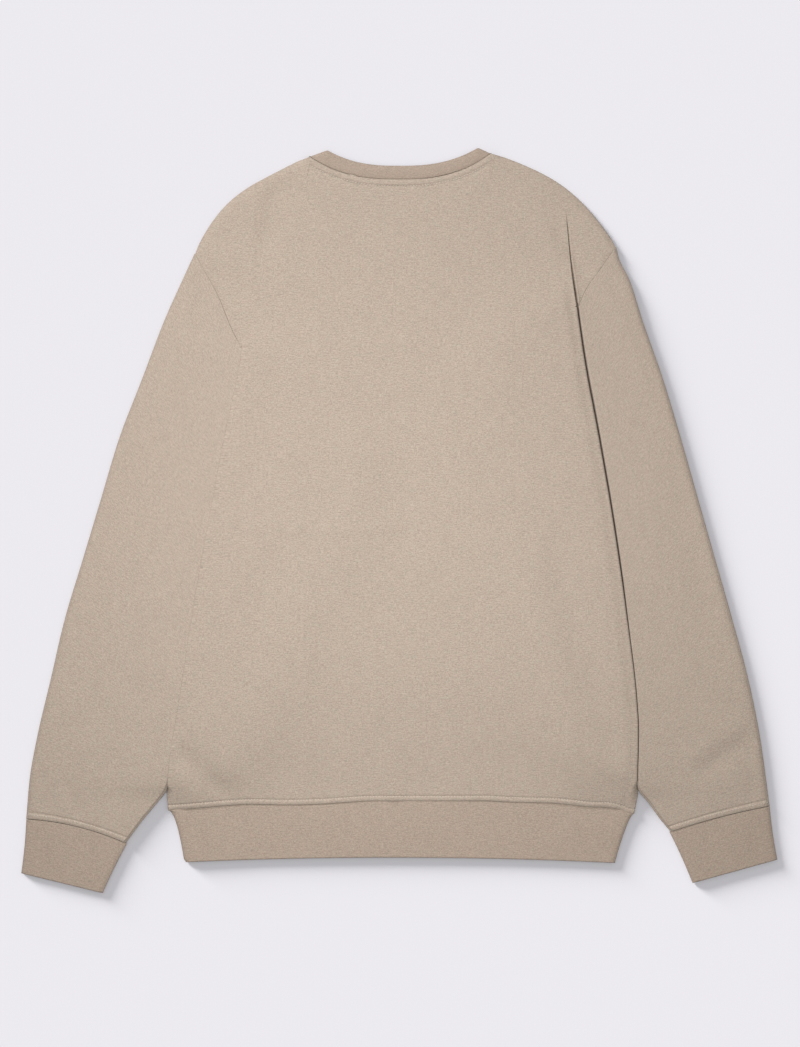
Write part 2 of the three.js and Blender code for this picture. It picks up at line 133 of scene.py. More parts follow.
SLEEVE_EDGES = {
    -1: {
        "outer": (
            (106.1, 205.2), (132, 217.2), (172, 235.2), (232, 258.2), (292, 281.2), (352, 299.2),
            (412, 317.2), (472, 335.2), (532, 349.2), (592, 363.2), (632, 370.2), (670.7, 373.5),
        ),
        "inner": (
            (297, 81.2), (352, 104), (452, 148), (532, 187), (592, 212), (612, 221),
            (624, 227.5), (640.6, 232.4), (656.7, 244.3), (672, 256.9), (694.2, 272.8),
        ),
        "seam_rise": 4.5,
    },
    1: {
        "outer": (
            (99, 217.3), (112, 220.8), (132, 230.8), (172, 243.8), (232, 264.8), (292, 282.8),
            (352, 299.8), (412, 316.8), (472, 333.8), (532, 349.8), (592, 361.8), (658, 370.8),
        ),
        "inner": (
            (292, 84.8), (352, 109), (452, 155), (532, 196), (592, 222), (612, 231),
            (624, 235.5), (640.6, 239), (654.4, 249.6), (669.7, 260.3), (683, 270.8),
        ),
        "seam_rise": 1.8,
    },
}
CUFF_CORNERS = {
    -1: {"seam": ((671, 373.3), (694.5, 272.7)), "end": ((724.9, 378.2), (744, 296.3))},
    1: {"seam": ((658.3, 370.8), (683.3, 270.9)), "end": ((711.3, 378.2), (733.9, 293.2))},
}
HEM_END = {-1: (713.4, 215.3), 1: (714.1, 216.2), "rise": 5.0}
HEM_SIDE_POWER = {-1: 0.5, 1: 0.72}
COLLAR_SEAM = {-1: (8.2, 88.4), 1: (5.2, 90.6)}
COLLAR_FREE = {-1: (2.3, 72.5), 1: (0.0, 79.3)}
COLLAR_FREE_DEPTH = {"back": 17.7, "front": 79.5}

CUFF_DEPTH = 53.0
HEM_DEPTH = 54.0
COLLAR_DEPTH = 20.0
CUFF_BULGE = 1.32
HEM_CORNER = 3.0
COLLAR_CROWN = 1.3

# How the cloth fills out over the solids
LOFT = 1.8
LOFT_EDGE = 7.0
FOLD_LOFT_EDGE = 1.4 * LOFT_EDGE
MID_LOFT = 3.5
MID_LOFT_START = (60, 210)
MID_LOFT_END = (640, 510)
CALMNESS = 0.4

# How seams and open edges roll in, and the turned-up allowances beside them
CURL = np.radians((18, 36, 54, 70, 85))
CURL_PACE = 0.4
END_PACE = 0.3
UPPER_WALL_FADE = 1.2
SEAM_ROLL = 0.68
SEAM_DEPTH = 1.5
SEAM_INSET = SEAM_ROLL - 0.05
ARM_ROLL = 0.55
ARM_DEPTH = 2.4
ARM_INSET = ARM_ROLL - 0.05
EDGE_ROLL = 1.3
EDGE_DEPTH = 1.0
COLLAR_ROLL = 1.4
FREE_EDGE_INSET = 0.65
NECK_RIDGE, NECK_RIDGE_WIDTH, NECK_DIP = 0.8, 5.8, 0.95
HEM_RIDGE, HEM_RIDGE_WIDTH, HEM_DIP = 0.38, 3.8, 1.7
CUFF_RIDGE, CUFF_DIP = 0.42, 1.5
NECK_REACH = 112
FAR_AWAY = 99.0

# The body's folds: (down, shift out) of each fold line, and how square and how far under it turns
FOLD_SHIFT = {
    -1: ((0, 0.0), (700, 0.0)),
    1: (
        (0, -1.4), (200, -1.4), (252, -0.8), (300, -1.4), (332, -1.7), (412, -1.4), (492, -0.9),
        (572, 0.1), (600, -1.0), (615, -1.5), (632, -1.0), (645, 0.4), (665, 1.0),
    ),
}
FOLD_SQUARENESS = {-1: 0.7, 1: 0.3}
CROSSING_SQUARENESS = 0.65
FOLD_UNDERCUT = {-1: 1.7, 1: 0.0}
SHOULDER_SECTIONS = 1.6
CROSSING_REACH = 6.0

# The sleeves beside the folds: how high they are held up, and (down, from, to) of the step beneath
SPREAD = 42.0
SLEEVE_SHARE = {-1: 0.68, 1: 0.62}
CREVICE = {
    -1: ((150, -2.2, -0.9), (640, -2.2, -0.9)),
    1: ((150, 0.8, 2.0), (250, 1.0, 2.2), (430, 0.7, 1.6), (492, -0.3, 0.9), (640, -0.4, 0.8)),
}
SLEEVE_SETTLES = (658, 636)
INNER_EDGE_SHOWS = (622, 644)
INNER_EDGE_ROUND = 1.6
SLEEVE_INSET = 1.08 * SKIN
OUTER_EDGE_LENGTH = 640.0
INNER_EDGE_LENGTH = 400.0

# The crease that leads from the right shoulder into the fold
GROOVE_DEPTH = {-1: 0.0, 1: 8.0}
GROOVE_HALF_WIDTH = 0.5
GROOVE_WIDENING = 0.48
GROOVE_WIDENS = (90, 130)
GROOVE_PLACE = 4.3
GROOVE_START = 58.0
GROOVE_FULL = 120.0
GROOVE_BOTTOM = 2.2
GROOVE_LIP = 0.12
DELL_DEPTH = 1.2
DELL_START = (55, 75)
DELL_END = (125, 95)
CREASE_SECTIONS = (1.9, 2.85)
CREASE_COLUMNS = GROOVE_PLACE + np.array((-3.5, -2.4, -1.5, -1.0, -0.7, -0.45, -0.2, 0.2, 0.45, 0.7, 1.0))
PAST_CREASE = 9.0
SETTLING_WIDTH = 12.0

# Where rows and columns lie close together, in millimetres from the seam, edge or fold
NECK_ROW_PLACES = (0.5, 1.2, 2, 3, 4, 4.9, 5.5, 6, 6.5, 7, 7.8, 9, 11, 13.5, 16.5, 20)
HEM_ROW_PLACES = (0.5, 1.1, 1.8, 2.5, 3.2, 3.8, 4.3, 4.8, 5.4, 6.2, 7.5, 9.5, 12)
HEM_SECTION_DEPTH = 19.5
HEAD_RING_PLACES = (0.4, 0.9, 1.6, 2.6)
CUFF_RING_PLACES = (0.5, 1.1, 1.8, 2.5, 3.2, 3.8, 4.3, 4.8, 5.4, 6.2, 7.5, 9.5)
SLEEVE_RINGS = 150
LAST_FOLD_SHARE = 0.985
FOLD_COLUMN_PLACES = (-9, -6, -4, -3, *np.arange(-2.4, 2.2, 0.3), 3, 4.5)
EDGE_COLUMN_PLACES = (0, 0.7, 1.6, 2.8, 4.5, 7)

# Knit and thread
JERSEY_WALE = 0.8
RIB_WALE = 1.5
COURSE = 0.9
KNIT_RELIEF = 0.3
WARM_TINT = (1.022, 0.985, 0.992)
COOL_TINT = (0.978, 1.012, 1.006)
ABOVE_ALL = 0.05
STITCH_LIFT = 0.12

SLEEVES = (("sleeve_left", -1), ("sleeve_right", 1))

# Creases in the cloth: ends (x, y), half width and height, in millimetres, negative for a trough
BACK_CREASES = (
    ((-118, 322), (-134, 282), 13, -1.6),
    ((-140, 330), (-152, 250), 9, 0.9),
    ((162, 284), (184, 250), 9, -1.5),
    ((-86, 356), (-10, 268), 6, 0.45),
    ((92, 356), (68, 318), 6, 0.45),
    ((128, -50), (186, -232), 20, 1.5),
    ((156, -30), (214, -220), 14, -1.1),
    ((-120, -50), (-176, -150), 20, -0.9),
    ((-216, -240), (-182, -262), 13, -3.0),
    ((-154, -17), (0, -17), 3.5, -0.4),
    ((-146, -8), (-10, -6), 11, 0.5),
    ((-96, -120), (-92, -226), 9, 0.7),
    ((-10, -232), (-6, -276), 7, 0.7),
    ((8, -236), (10, -276), 6, -0.5),
    ((-60, 150), (80, 138), 26, 0.5),
    ((-110, 60), (-150, -40), 18, 0.6),
    ((188, -246), (216, -268), 10, -0.9),
)
SLEEVE_CREASES = {
    -1: (
        ((-330, -268), (-322, -296), 7, -0.9),
        ((-300, -262), (-306, -300), 8, 0.7),
        ((-360, -240), (-356, -292), 9, -0.8),
        ((-262, -180), (-290, -270), 16, -0.8),
        ((-280, 60), (-258, 10), 20, -0.6),
        ((-210, 200), (-232, 130), 16, 0.6),
    ),
    1: (
        ((308, -246), (360, -218), 12, -1.5),
        ((306, -230), (352, -204), 12, 0.9),
        ((300, -262), (312, -292), 8, 0.7),
        ((352, -236), (356, -280), 9, -0.7),
        ((286, 10), (300, -90), 18, -0.7),
        ((222, 214), (236, 150), 14, 0.6),
    ),
}


def smooth(value):
    k = np.clip(value, 0.0, 1.0)
    return k * k * (3 - 2 * k)


def eased(value, start, end):
    """Nought up to the start, one past the end, and a soft change between them in either direction."""
    return smooth((value - start) / (end - start))


def rounded(distance, radius):
    """A quarter round that rises from an edge to its full height at the given distance."""
    return np.sqrt(1 - (1 - np.clip(distance / radius, 0, 1)) ** 2)


def blend(a, b, k):
    return a + (b - a) * k


def monotone_curve(x, y, at):
    """A smooth curve through the points that never overshoots them, read at the given places."""
    x = np.asarray(x, float)
    y = np.asarray(y, float)
    step = np.diff(x)
    slope = np.diff(y) / step
    tangent = np.zeros(len(x))
    tangent[0] = slope[0]
    tangent[-1] = slope[-1]
    for i in range(1, len(x) - 1):
        if slope[i - 1] * slope[i] > 0:
            tangent[i] = 2 * slope[i - 1] * slope[i] / (slope[i - 1] + slope[i])
    at = np.clip(at, x[0], x[-1])
    i = np.clip(np.searchsorted(x, at, side="right") - 1, 0, len(x) - 2)
    h = step[i]
    k = (at - x[i]) / h
    rise = y[i] * (1 + 2 * k) * (1 - k) ** 2 + y[i + 1] * k * k * (3 - 2 * k)
    lean = tangent[i] * k * (1 - k) ** 2 - tangent[i + 1] * k * k * (1 - k)
    return rise + h * lean


class Side:
    """One side of the body: its sections, and the height of its middle surface."""

    STEP = 2.0
    SOFTEN = 9
    LAST_DOWN = 700

    def __init__(self, sign, rows):
        self.sign = sign
        self.columns = dict(zip(SECTION_COLUMNS, np.array(rows, float).T))
        self.downs = np.arange(0, self.LAST_DOWN, self.STEP)
        kernel = np.hanning(2 * self.SOFTEN + 1)
        kernel /= kernel.sum()
        self.soft = {}
        for key in ("lift", "shelf", "mid"):
            plain = np.interp(self.downs, self.columns["edge_down"], self.columns[key])
            padded = np.pad(plain, self.SOFTEN, mode="edge")
            self.soft[key] = np.convolve(padded, kernel, mode="valid")

    def between_rows(self, key, t):
        return np.interp(t, np.arange(LAST_SECTION + 1), self.columns[key])

    def softened(self, key, down):
        return np.interp(down, self.downs, self.soft[key])

    def section(self, t):
        """The section's columns at a section number that may lie between two rows."""
        edge_down = self.between_rows("edge_down", t)
        result = {"edge_down": edge_down}
        for key in SECTION_COLUMNS[1:]:
            result[key] = monotone_curve(self.columns["edge_down"], self.columns[key], edge_down)
        result["fold_out"] = result["fold_out"] + self.fold_shift(result["fold_down"])
        result["bend"] = self.between_rows("bend", t)
        return result

    def fold_shift(self, down):
        places, shifts = np.array(FOLD_SHIFT[self.sign], float).T
        return np.interp(down, places, shifts)

    def fold_out(self, down):
        plain = monotone_curve(self.columns["fold_down"], self.columns["fold_out"], down)
        return plain + self.fold_shift(down)

    def seam_depth(self, down):
        """Depth of the armhole's groove: none where the seam dips under the fold."""
        crossing = self.columns["fold_down"][CROSSING_SECTION]
        return ARM_DEPTH * (1 - np.exp(-(((down - crossing) / CROSSING_REACH) ** 2)))

    def lift(self, down):
        return self.softened("lift", down) * SHELF_RISE

    def level(self, out, down):
        """Height of the middle surface: it climbs to the fold, which lies on the sleeve and its own flap."""
        lift, mid, shelf = self.lift(down), self.softened("mid", down), self.softened("shelf", down)
        mid = mid + MID_LOFT * eased(down, *MID_LOFT_START) * eased(down, *MID_LOFT_END)
        inner = np.maximum(0, shelf - SINK_WIDTH)
        return FLOOR_LEVEL + blend(mid, np.maximum(lift, mid), eased(out, inner, shelf))

    def shelf_beside(self, out, down):
        """How far the cloth beside the fold is held up, dying away from the fold."""
        beyond = np.maximum(out - self.fold_out(down), 0)
        return self.lift(np.maximum(down, 0)) * SLEEVE_SHARE[self.sign] * np.exp(-beyond / SPREAD)

    def shoulder_down(self, out):
        down, outs = np.array(SHOULDERS[self.sign], float).T
        return monotone_curve(outs, down, out)


LEFT = Side(-1, LEFT_ROWS)
RIGHT = Side(1, RIGHT_ROWS)
SIDES = {-1: LEFT, 1: RIGHT}


def spread(first, last, count):
    return np.linspace(first, last, count + 1)


NECK_SHARES = spread(0, 1, 22)
YOKE_SHARES = spread(0, 1, 34)[1:]
FOLD_SHARES = spread(0, 1, 14)[1:]
TUCK_SHARES = spread(0, 1, 12)[1:]


def hem_seam_down(x):
    """How far down the hem's seam lies, at a place across the garment."""
    down, place = np.array(HEM_SEAM, float).T
    return monotone_curve(place, down, x)


def hem_seam_plain(x):
    """How far down the hem's seam lies before its own waves are added."""
    left, right = (side.columns for side in (LEFT, RIGHT))
    places = (-left["edge_out"][-1], -HEM_YOKE_OUT, 0, HEM_YOKE_OUT, right["edge_out"][-1])
    downs = (left["edge_down"][-1], HEM_YOKE_DOWN, HEM_CENTRE_DOWN, HEM_YOKE_DOWN, right["edge_down"][-1])
    return np.interp(x, places, downs)


def neckline(end_down, depth, power, share):
    """How far down a neckline lies, from its bottom at share 0 to its ends at shares -1 and 1."""
    return blend(depth, end_down, np.abs(share) ** power)


def back_neck_seam(shares):
    """The back neck's seam in plan, from its left end at share -1 to its right end at share 1."""
    left = shares < 0
    end_down = np.where(left, NECK_DOWN[-1], NECK_DOWN[1])
    down = neckline(end_down, NECK_DEPTH["back"], NECK_POWER["back"], shares)
    return np.stack([np.where(left, NECK_OUT[-1], NECK_OUT[1]) * shares, TOP_OF_COLLAR - down], axis=-1)


def crease_height(creases, x, y):
    """The summed height of the creases at the given places."""
    total = np.zeros(np.shape(x))
    for (ax, ay), (bx, by), width, height in creases:
        dx, dy = bx - ax, by - ay
        length = math.hypot(dx, dy)
        along = ((x - ax) * dx + (y - ay) * dy) / length
        across = ((x - ax) * dy - (y - ay) * dx) / length
        beyond = np.maximum(np.maximum(-along, along - length), 0)
        wander = 0.25 * width * np.sin(along / (0.35 * length) + 0.02 * ax)
        total += height * np.exp(-((across + wander) / width) ** 2 - (beyond / (1.6 * width)) ** 2)
    return total


def rolling(x, y):
    """The slow rise and fall of cloth that has been lived in."""
    return (
        0.34 * np.sin(x / 41 + 0.7 + 0.6 * np.sin(y / 83)) * np.sin(y / 57 + 1.9)
        + 0.22 * np.sin((x + 0.6 * y) / 27 + 2.1) * np.sin((y - 0.3 * x) / 71)
        + 0.10 * np.sin((x - 1.4 * y) / 17 + 0.4) * np.sin((y + x) / 39 + 1.1)
    )


def shoulder_shift(side, place):
    """How far the shoulder's true curve lies from straight lines, from neck 0 to fold 1 to armhole 2."""
    section = side.section(0)
    fold_out = section["fold_out"] - FOLD_RADIUS - SKIN
    outs = (NECK_OUT[side.sign], fold_out, section["edge_out"] - ARM_INSET)
    downs = (NECK_DOWN[side.sign] + SEAM_INSET, section["fold_down"], section["edge_down"])
    out = np.interp(place, (0, 1, 2), outs)
    shift = side.shoulder_down(out) - np.interp(place, (0, 1, 2), downs)
    at_armhole = side.shoulder_down(outs[2]) - downs[2]
    return shift - at_armhole * smooth(place - 1)


def groove_cut(sign, beyond, down):
    """The crease that leads into the fold over a sleeve: how far it cuts in, and the lip beside it."""
    full_depth = GROOVE_DEPTH[sign]
    depth = eased(down, GROOVE_START, GROOVE_FULL)
    across = beyond - GROOVE_PLACE
    half = GROOVE_HALF_WIDTH + GROOVE_WIDENING * eased(down, *GROOVE_WIDENS)
    cut = full_depth * depth * np.exp(-np.abs(across / half) ** 8)
    dell = eased(down, *DELL_START) * eased(down, *DELL_END) * depth
    cut = cut + np.sign(full_depth) * DELL_DEPTH * dell * np.exp(-(((across + 0.7) / 1.9) ** 2))
    lip = GROOVE_LIP * full_depth * depth * np.exp(-((across / 2.4) ** 2)) * (np.abs(across) > half)
    return cut, lip


def half_row(side, t, piece):
    """Columns of one half of a row of the body, from the centre line to the seamed edge."""
    if FLAT_SECTION < t < CROSSING_SECTION:
        k = float(smooth((t - CROSSING_SECTION) / CROSSING_SPAN + 1))
        flat = laid_row(side, t, piece, True)
        turned = laid_row(side, t, piece, False)
        return {key: blend(flat[key], turned[key], k) for key in flat}
    return laid_row(side, t, piece, t <= FLAT_SECTION)


def hem_settling(t):
    return max(0.0, (t - HEM_SETTLING_SECTION) / (LAST_SECTION - HEM_SETTLING_SECTION))


def on_shoulder(t):
    return max(0.0, 1 - t / SHOULDER_SECTIONS) ** 1.5


def row_crossings(side, t, piece, section):
    """How far down a row crosses the centre line and the yoke line, and how far out the yoke line is."""
    levelling = max(0.0, 1 - t / LEVELLING_SECTION) ** 1.5
    both = SIDES.values()
    middle = sum(each.between_rows("edge_down", t) for each in both) / 2
    middle_top = sum(each.columns["edge_down"][0] for each in both) / 2
    middle_hem = sum(each.columns["edge_down"][-1] for each in both) / 2
    neck_bottom = NECK_DEPTH[piece] + SEAM_INSET
    hem_centre = HEM_CENTRE_DOWN - SEAM_INSET
    centre = middle - (middle_top - neck_bottom) * levelling - (middle_hem - hem_centre) * hem_settling(t)
    edge = side.columns["edge_down"]
    neck_end = NECK_DOWN[side.sign] + SEAM_INSET
    hem_yoke = HEM_YOKE_DOWN - SEAM_INSET
    yoke = section["edge_down"] - (edge[0] - neck_end) * levelling - (edge[-1] - hem_yoke) * hem_settling(t)
    return centre, yoke, blend(HEM_YOKE_OUT, NECK_OUT[side.sign], levelling)


def fold_start(section, flat_row):
    """How far out a row's flat part ends, the radius of its fold and the length tucked under it."""
    bend = math.radians(section["bend"])
    radius = FOLD_LENGTH / bend if bend > LEAST_BEND else 0.0
    if flat_row:
        return section["fold_out"] - FOLD_RADIUS - SKIN, radius, SHORT_TUCK
    if section["bend"] >= 90:
        start = section["fold_out"] - SKIN - radius
        full_tuck = max(SHORT_TUCK, start - section["edge_out"])
        return start, radius, blend(SHORT_TUCK, full_tuck, float(eased(section["bend"], 90, 180)))
    run = radius * math.sin(bend) if bend > LEAST_BEND else FOLD_LENGTH
    return section["fold_out"] - SKIN - run - SHORT_TUCK * math.cos(bend), radius, SHORT_TUCK


def flat_side(side, t, piece, section, start, nearing):
    """The rest of a row that runs flat to the armhole, with the crease that leads into the fold."""
    start_out, start_down, start_z = start
    edge_out = section["edge_out"] - ARM_INSET
    width = edge_out - start_out
    past_crease = blend(CREASE_COLUMNS[-1], min(PAST_CREASE, width), np.array((0.2, 0.5, 0.8)))
    shares = np.concatenate((CREASE_COLUMNS, past_crease)) / width
    shares = np.concatenate((shares, blend(shares[-1], 1.0, TUCK_SHARES)))
    out = blend(start_out, edge_out, shares)
    down = blend(start_down, section["edge_down"], shares)
    down = down + on_shoulder(t) * shoulder_shift(side, 1 + shares)
    beyond = out - start_out
    z = blend(start_z, FLOOR_LEVEL + side.shelf_beside(out, down), eased(beyond, 0, SETTLING_WIDTH))
    cut, lip = groove_cut(side.sign, beyond, down)
    bottom = GROOVE_BOTTOM - SKIN - LOFT * (1 - nearing) if piece == "back" else FLOOR_LEVEL
    z = np.where(cut > 0.01, np.maximum(z - cut, bottom), z) + lip
    return {"out": out, "down": down, "z": z, "nx": 0 * out, "nz": 0 * out + 1, "path": beyond}


def turned_side(side, section, start, radius, tuck):
    """The rest of a row that turns under at the fold and runs back towards the centre."""
    start_out, start_down, start_z = start
    bend = math.radians(section["bend"])
    angle = bend * FOLD_SHARES
    along = tuck * TUCK_SHARES
    if bend > LEAST_BEND:
        run, drop = radius * np.sin(angle), radius * (1 - np.cos(angle))
    else:
        run, drop = FOLD_LENGTH * FOLD_SHARES, 0 * FOLD_SHARES
    # a laid fold is squarer than a half round: its outer face stands up beside the sleeve
    square = FOLD_SQUARENESS[side.sign] * float(eased(section["bend"], 60, 90))
    if section["bend"] >= 90:
        at_crossing = max(square, CROSSING_SQUARENESS)
        square = blend(at_crossing, square, float(eased(section["bend"], 90, 150)))
    across, up = np.abs(np.sin(angle)), np.abs(np.cos(angle))
    upper = angle <= math.pi / 2 + 1e-6
    run = run + np.where(upper, (radius + SKIN) * (across ** (1 - square) - across), 0)
    drop = drop - np.where(upper, (radius + SKIN) * (up ** (1 - square) - up), 0)
    run = run - FOLD_UNDERCUT[side.sign] * float(eased(section["bend"], 92, 152)) * eased(angle, 0.75, 1.55)
    out = start_out + np.concatenate((run, run[-1] + along * math.cos(bend)))
    return {
        "out": out,
        "down": np.full(len(out), start_down),
        "z": start_z - np.concatenate((drop, drop[-1] + along * math.sin(bend))),
        "nx": np.concatenate((np.sin(angle), np.full(len(along), math.sin(bend)))),
        "nz": np.concatenate((np.cos(angle), np.full(len(along), math.cos(bend)))),
        "path": np.concatenate((FOLD_LENGTH * FOLD_SHARES, FOLD_LENGTH + along)),
    }


def laid_row(side, t, piece, flat_row):
    """A half row that either runs flat to the armhole or turns under at the fold."""
    section = side.section(t)
    fold_out, radius, tuck = fold_start(section, flat_row)
    centre, yoke, yoke_out = row_crossings(side, t, piece, section)

    # from the centre line past the neck's end to the start of the fold
    neck_end, neck_bottom = NECK_DOWN[side.sign] + SEAM_INSET, NECK_DEPTH[piece] + SEAM_INSET
    straight = blend(centre, yoke, NECK_SHARES)
    curved = neckline(neck_end, neck_bottom, NECK_POWER[piece], NECK_SHARES)
    to_yoke = blend(straight, curved, max(0.0, 1 - t) ** 1.5)
    to_fold = blend(yoke, section["fold_down"] - SEAM_INSET * hem_settling(t), YOKE_SHARES)
    start_down = to_fold[-1]
    if flat_row:
        to_fold = to_fold + on_shoulder(t) * shoulder_shift(side, YOKE_SHARES)
    out = np.concatenate((yoke_out * NECK_SHARES, blend(yoke_out, fold_out, YOKE_SHARES)))
    down = np.concatenate((to_yoke, to_fold))
    z = side.level(out, down)
    if not flat_row and section["lift"] >= 1:
        z[-1] = FLOOR_LEVEL + side.lift(down[-1])

    start = (out[-1], start_down, z[-1])
    nearing = float(eased(t, *CREASE_SECTIONS)) if flat_row else 1.0
    if flat_row:
        far = flat_side(side, t, piece, section, start, nearing)
    else:
        far = turned_side(side, section, start, radius, tuck)
    loft = blend(1.0, smooth((out[-1] - out) / FOLD_LOFT_EDGE), nearing)
    far_count = len(far["out"])
    return {
        "out": np.concatenate((out, far["out"])),
        "down": np.concatenate((down, far["down"])),
        "z": np.concatenate((z, far["z"])),
        "nx": np.concatenate((0 * out, far["nx"])),
        "nz": np.concatenate((0 * out + 1, far["nz"])),
        "loft": np.concatenate((loft, np.full(far_count, 1.0 - nearing))),
        "u": np.concatenate((out, out[-1] + far["path"])),
        "v": np.concatenate((down, far["down"])),
        "shoulder": np.concatenate((0 * NECK_SHARES, smooth(YOKE_SHARES * 5), np.ones(far_count))),
        "side_curl": np.array([float(smooth((t - UNDERARM_SECTION) * 2))]),
    }


def body_row_numbers(step, fine, piece):
    """Section numbers of the rows, close together at the neck, the crossings and the hem."""
    numbers = [CROSSING_SECTION - CROSSING_SPAN * k for k in (1, 0.75, 0.5, 0.25)]
    for i in range(LAST_SECTION):
        gap = max(np.diff(side.columns["edge_down"])[i] for side in SIDES.values())
        pace = step / 2 if i in (FLAT_SECTION, CROSSING_SECTION) else step
        count = max(1, math.ceil(gap / pace))
        numbers.extend(i + k / count for k in range(count))
    numbers = sorted(set(numbers))
    if fine:
        probe = np.linspace(0, 1, 41)
        centre = np.array([laid_row(LEFT, t, piece, True)["down"][0] for t in probe])
        at_neck = np.interp(NECK_ROW_PLACES, centre - centre[0], probe)
        at_hem = LAST_SECTION - np.array(HEM_ROW_PLACES) / HEM_SECTION_DEPTH
        numbers = [t for t in numbers if t == 0 or (t > at_neck[-1] and t < at_hem[-1])]
        numbers = sorted([*numbers, *at_neck, *at_hem])
    return [*numbers, float(LAST_SECTION)]


def edge_distance(rows):
    """Distance down the grid from its first row, and up from its last, in millimetres."""
    places = np.stack([rows["x"], rows["y"], rows["z"]], axis=-1)
    step = np.linalg.norm(np.diff(places, axis=0), axis=-1)
    zero = np.zeros((1, step.shape[1]))
    from_top = np.concatenate((zero, np.cumsum(step, axis=0)))
    from_hem = np.concatenate((np.cumsum(step[::-1], axis=0)[::-1], zero))
    return from_top, from_hem


def neck_distance(x, y):
    """Distance from the back neck's seam, carried on straight past both of its ends."""
    seam = back_neck_seam(np.linspace(-1, 1, 401))
    reach = np.arange(0.5, 14, 0.5)[:, None]
    before = seam[0] + unit(seam[0] - seam[1]) * reach[::-1]
    after = seam[-1] + unit(seam[-1] - seam[-2]) * reach
    seam = np.concatenate((before, seam, after))
    along = unit(np.gradient(seam, axis=0))
    result = np.full(x.shape, FAR_AWAY)
    near = (np.abs(x) < NECK_REACH) & (y > TOP_OF_COLLAR - NECK_DEPTH["back"] - 31)
    points = np.stack([x[near], y[near]], axis=-1)
    nearest = np.argmin(((points[:, None] - seam[None]) ** 2).sum(-1), axis=1)
    lean = points - seam[nearest]
    result[near] = lean[:, 0] * along[nearest, 1] - lean[:, 1] * along[nearest, 0]
    return result


def body_grid(piece, facing, step, fine):
    """Points and cloth coordinates of the outer face of the back or front panel."""
    halves = {}
    numbers = body_row_numbers(step, fine, piece)
    for sign, side in SIDES.items():
        rows = [half_row(side, t, piece) for t in numbers]
        halves[sign] = {key: np.stack([row[key] for row in rows]) for key in rows[0]}

    def joined(key, odd=False):
        left = halves[-1][key][:, ::-1]
        return np.concatenate((-left if odd else left, halves[1][key][:, 1:]), axis=1)

    grid = {key: joined(key) for key in ("z", "nz", "loft", "v", "shoulder")}
    grid |= {"x": joined("out", True), "nx": joined("nx", True), "u": joined("u", True)}
    grid["y"] = TOP_OF_COLLAR - joined("down")
    towards_hem = eased(TOP_OF_COLLAR - grid["y"], 560, 650)
    grid["y"] -= towards_hem * (hem_seam_down(grid["x"]) - hem_seam_plain(grid["x"]))
    curls = {sign: halves[sign]["side_curl"][:, 0] for sign in halves}
    height = back_height(grid) if facing > 0 else np.zeros(grid["x"].shape)
    return grid, curls, height


def back_height(grid):
    """How far the back's face stands out from its solid: soft fill, creases and turned-up seams."""
    x, y = grid["x"], grid["y"]
    from_neck, from_hem = edge_distance(grid)
    from_side = np.minimum(np.abs(x - x[:, :1]), np.abs(x - x[:, -1:]))
    outline = grid["shoulder"]
    height = LOFT * grid["loft"] * (rounded(from_neck, LOFT_EDGE) * outline + (1 - outline))
    height += grid["loft"] * crease_height(BACK_CREASES, x, y)
    calm = grid["loft"] * smooth(from_neck / 30) * smooth(from_hem / 30) * smooth(from_side / 16)
    height += calm * CALMNESS * rolling(x, y)
    height += NECK_RIDGE * ridge(neck_distance(x, y) - SEAM_INSET, NECK_RIDGE_WIDTH, NECK_DIP)
    height += HEM_RIDGE * ridge(from_hem, HEM_RIDGE_WIDTH, HEM_DIP) * np.abs(grid["nz"])
    return height


def ridge(distance, width, dip_depth):
    """A turned-up seam allowance: a rounded band beside a seam, with the stitching's dip after it."""
    band = np.sin(np.pi * np.clip(distance / width, 0, 1)) ** 0.7
    dip = np.exp(-((distance - width - 0.5) / 0.65) ** 2)
    return band - dip_depth * dip


def unit(vectors):
    return vectors / np.maximum(np.linalg.norm(vectors, axis=-1, keepdims=True), 1e-9)


def rolled_edge(edge, edge_normal, direction, radius, depth):
    """Rows that carry an edge on, curling away from the face; a seam's small roll dips deeper."""
    rows = []
    for angle in CURL:
        drop = radius * (1 - math.cos(angle)) * np.where(radius < SKIN - 0.01, depth, 1.0)
        move = radius * math.sin(angle)
        rows.append(edge + direction * move[..., None] - edge_normal * drop[..., None])
    return rows


def padded(rows, before, after):
    """A grid of values with its first and last rows repeated."""
    return np.concatenate((np.repeat(rows[:1], before, 0), rows, np.repeat(rows[-1:], after, 0)))


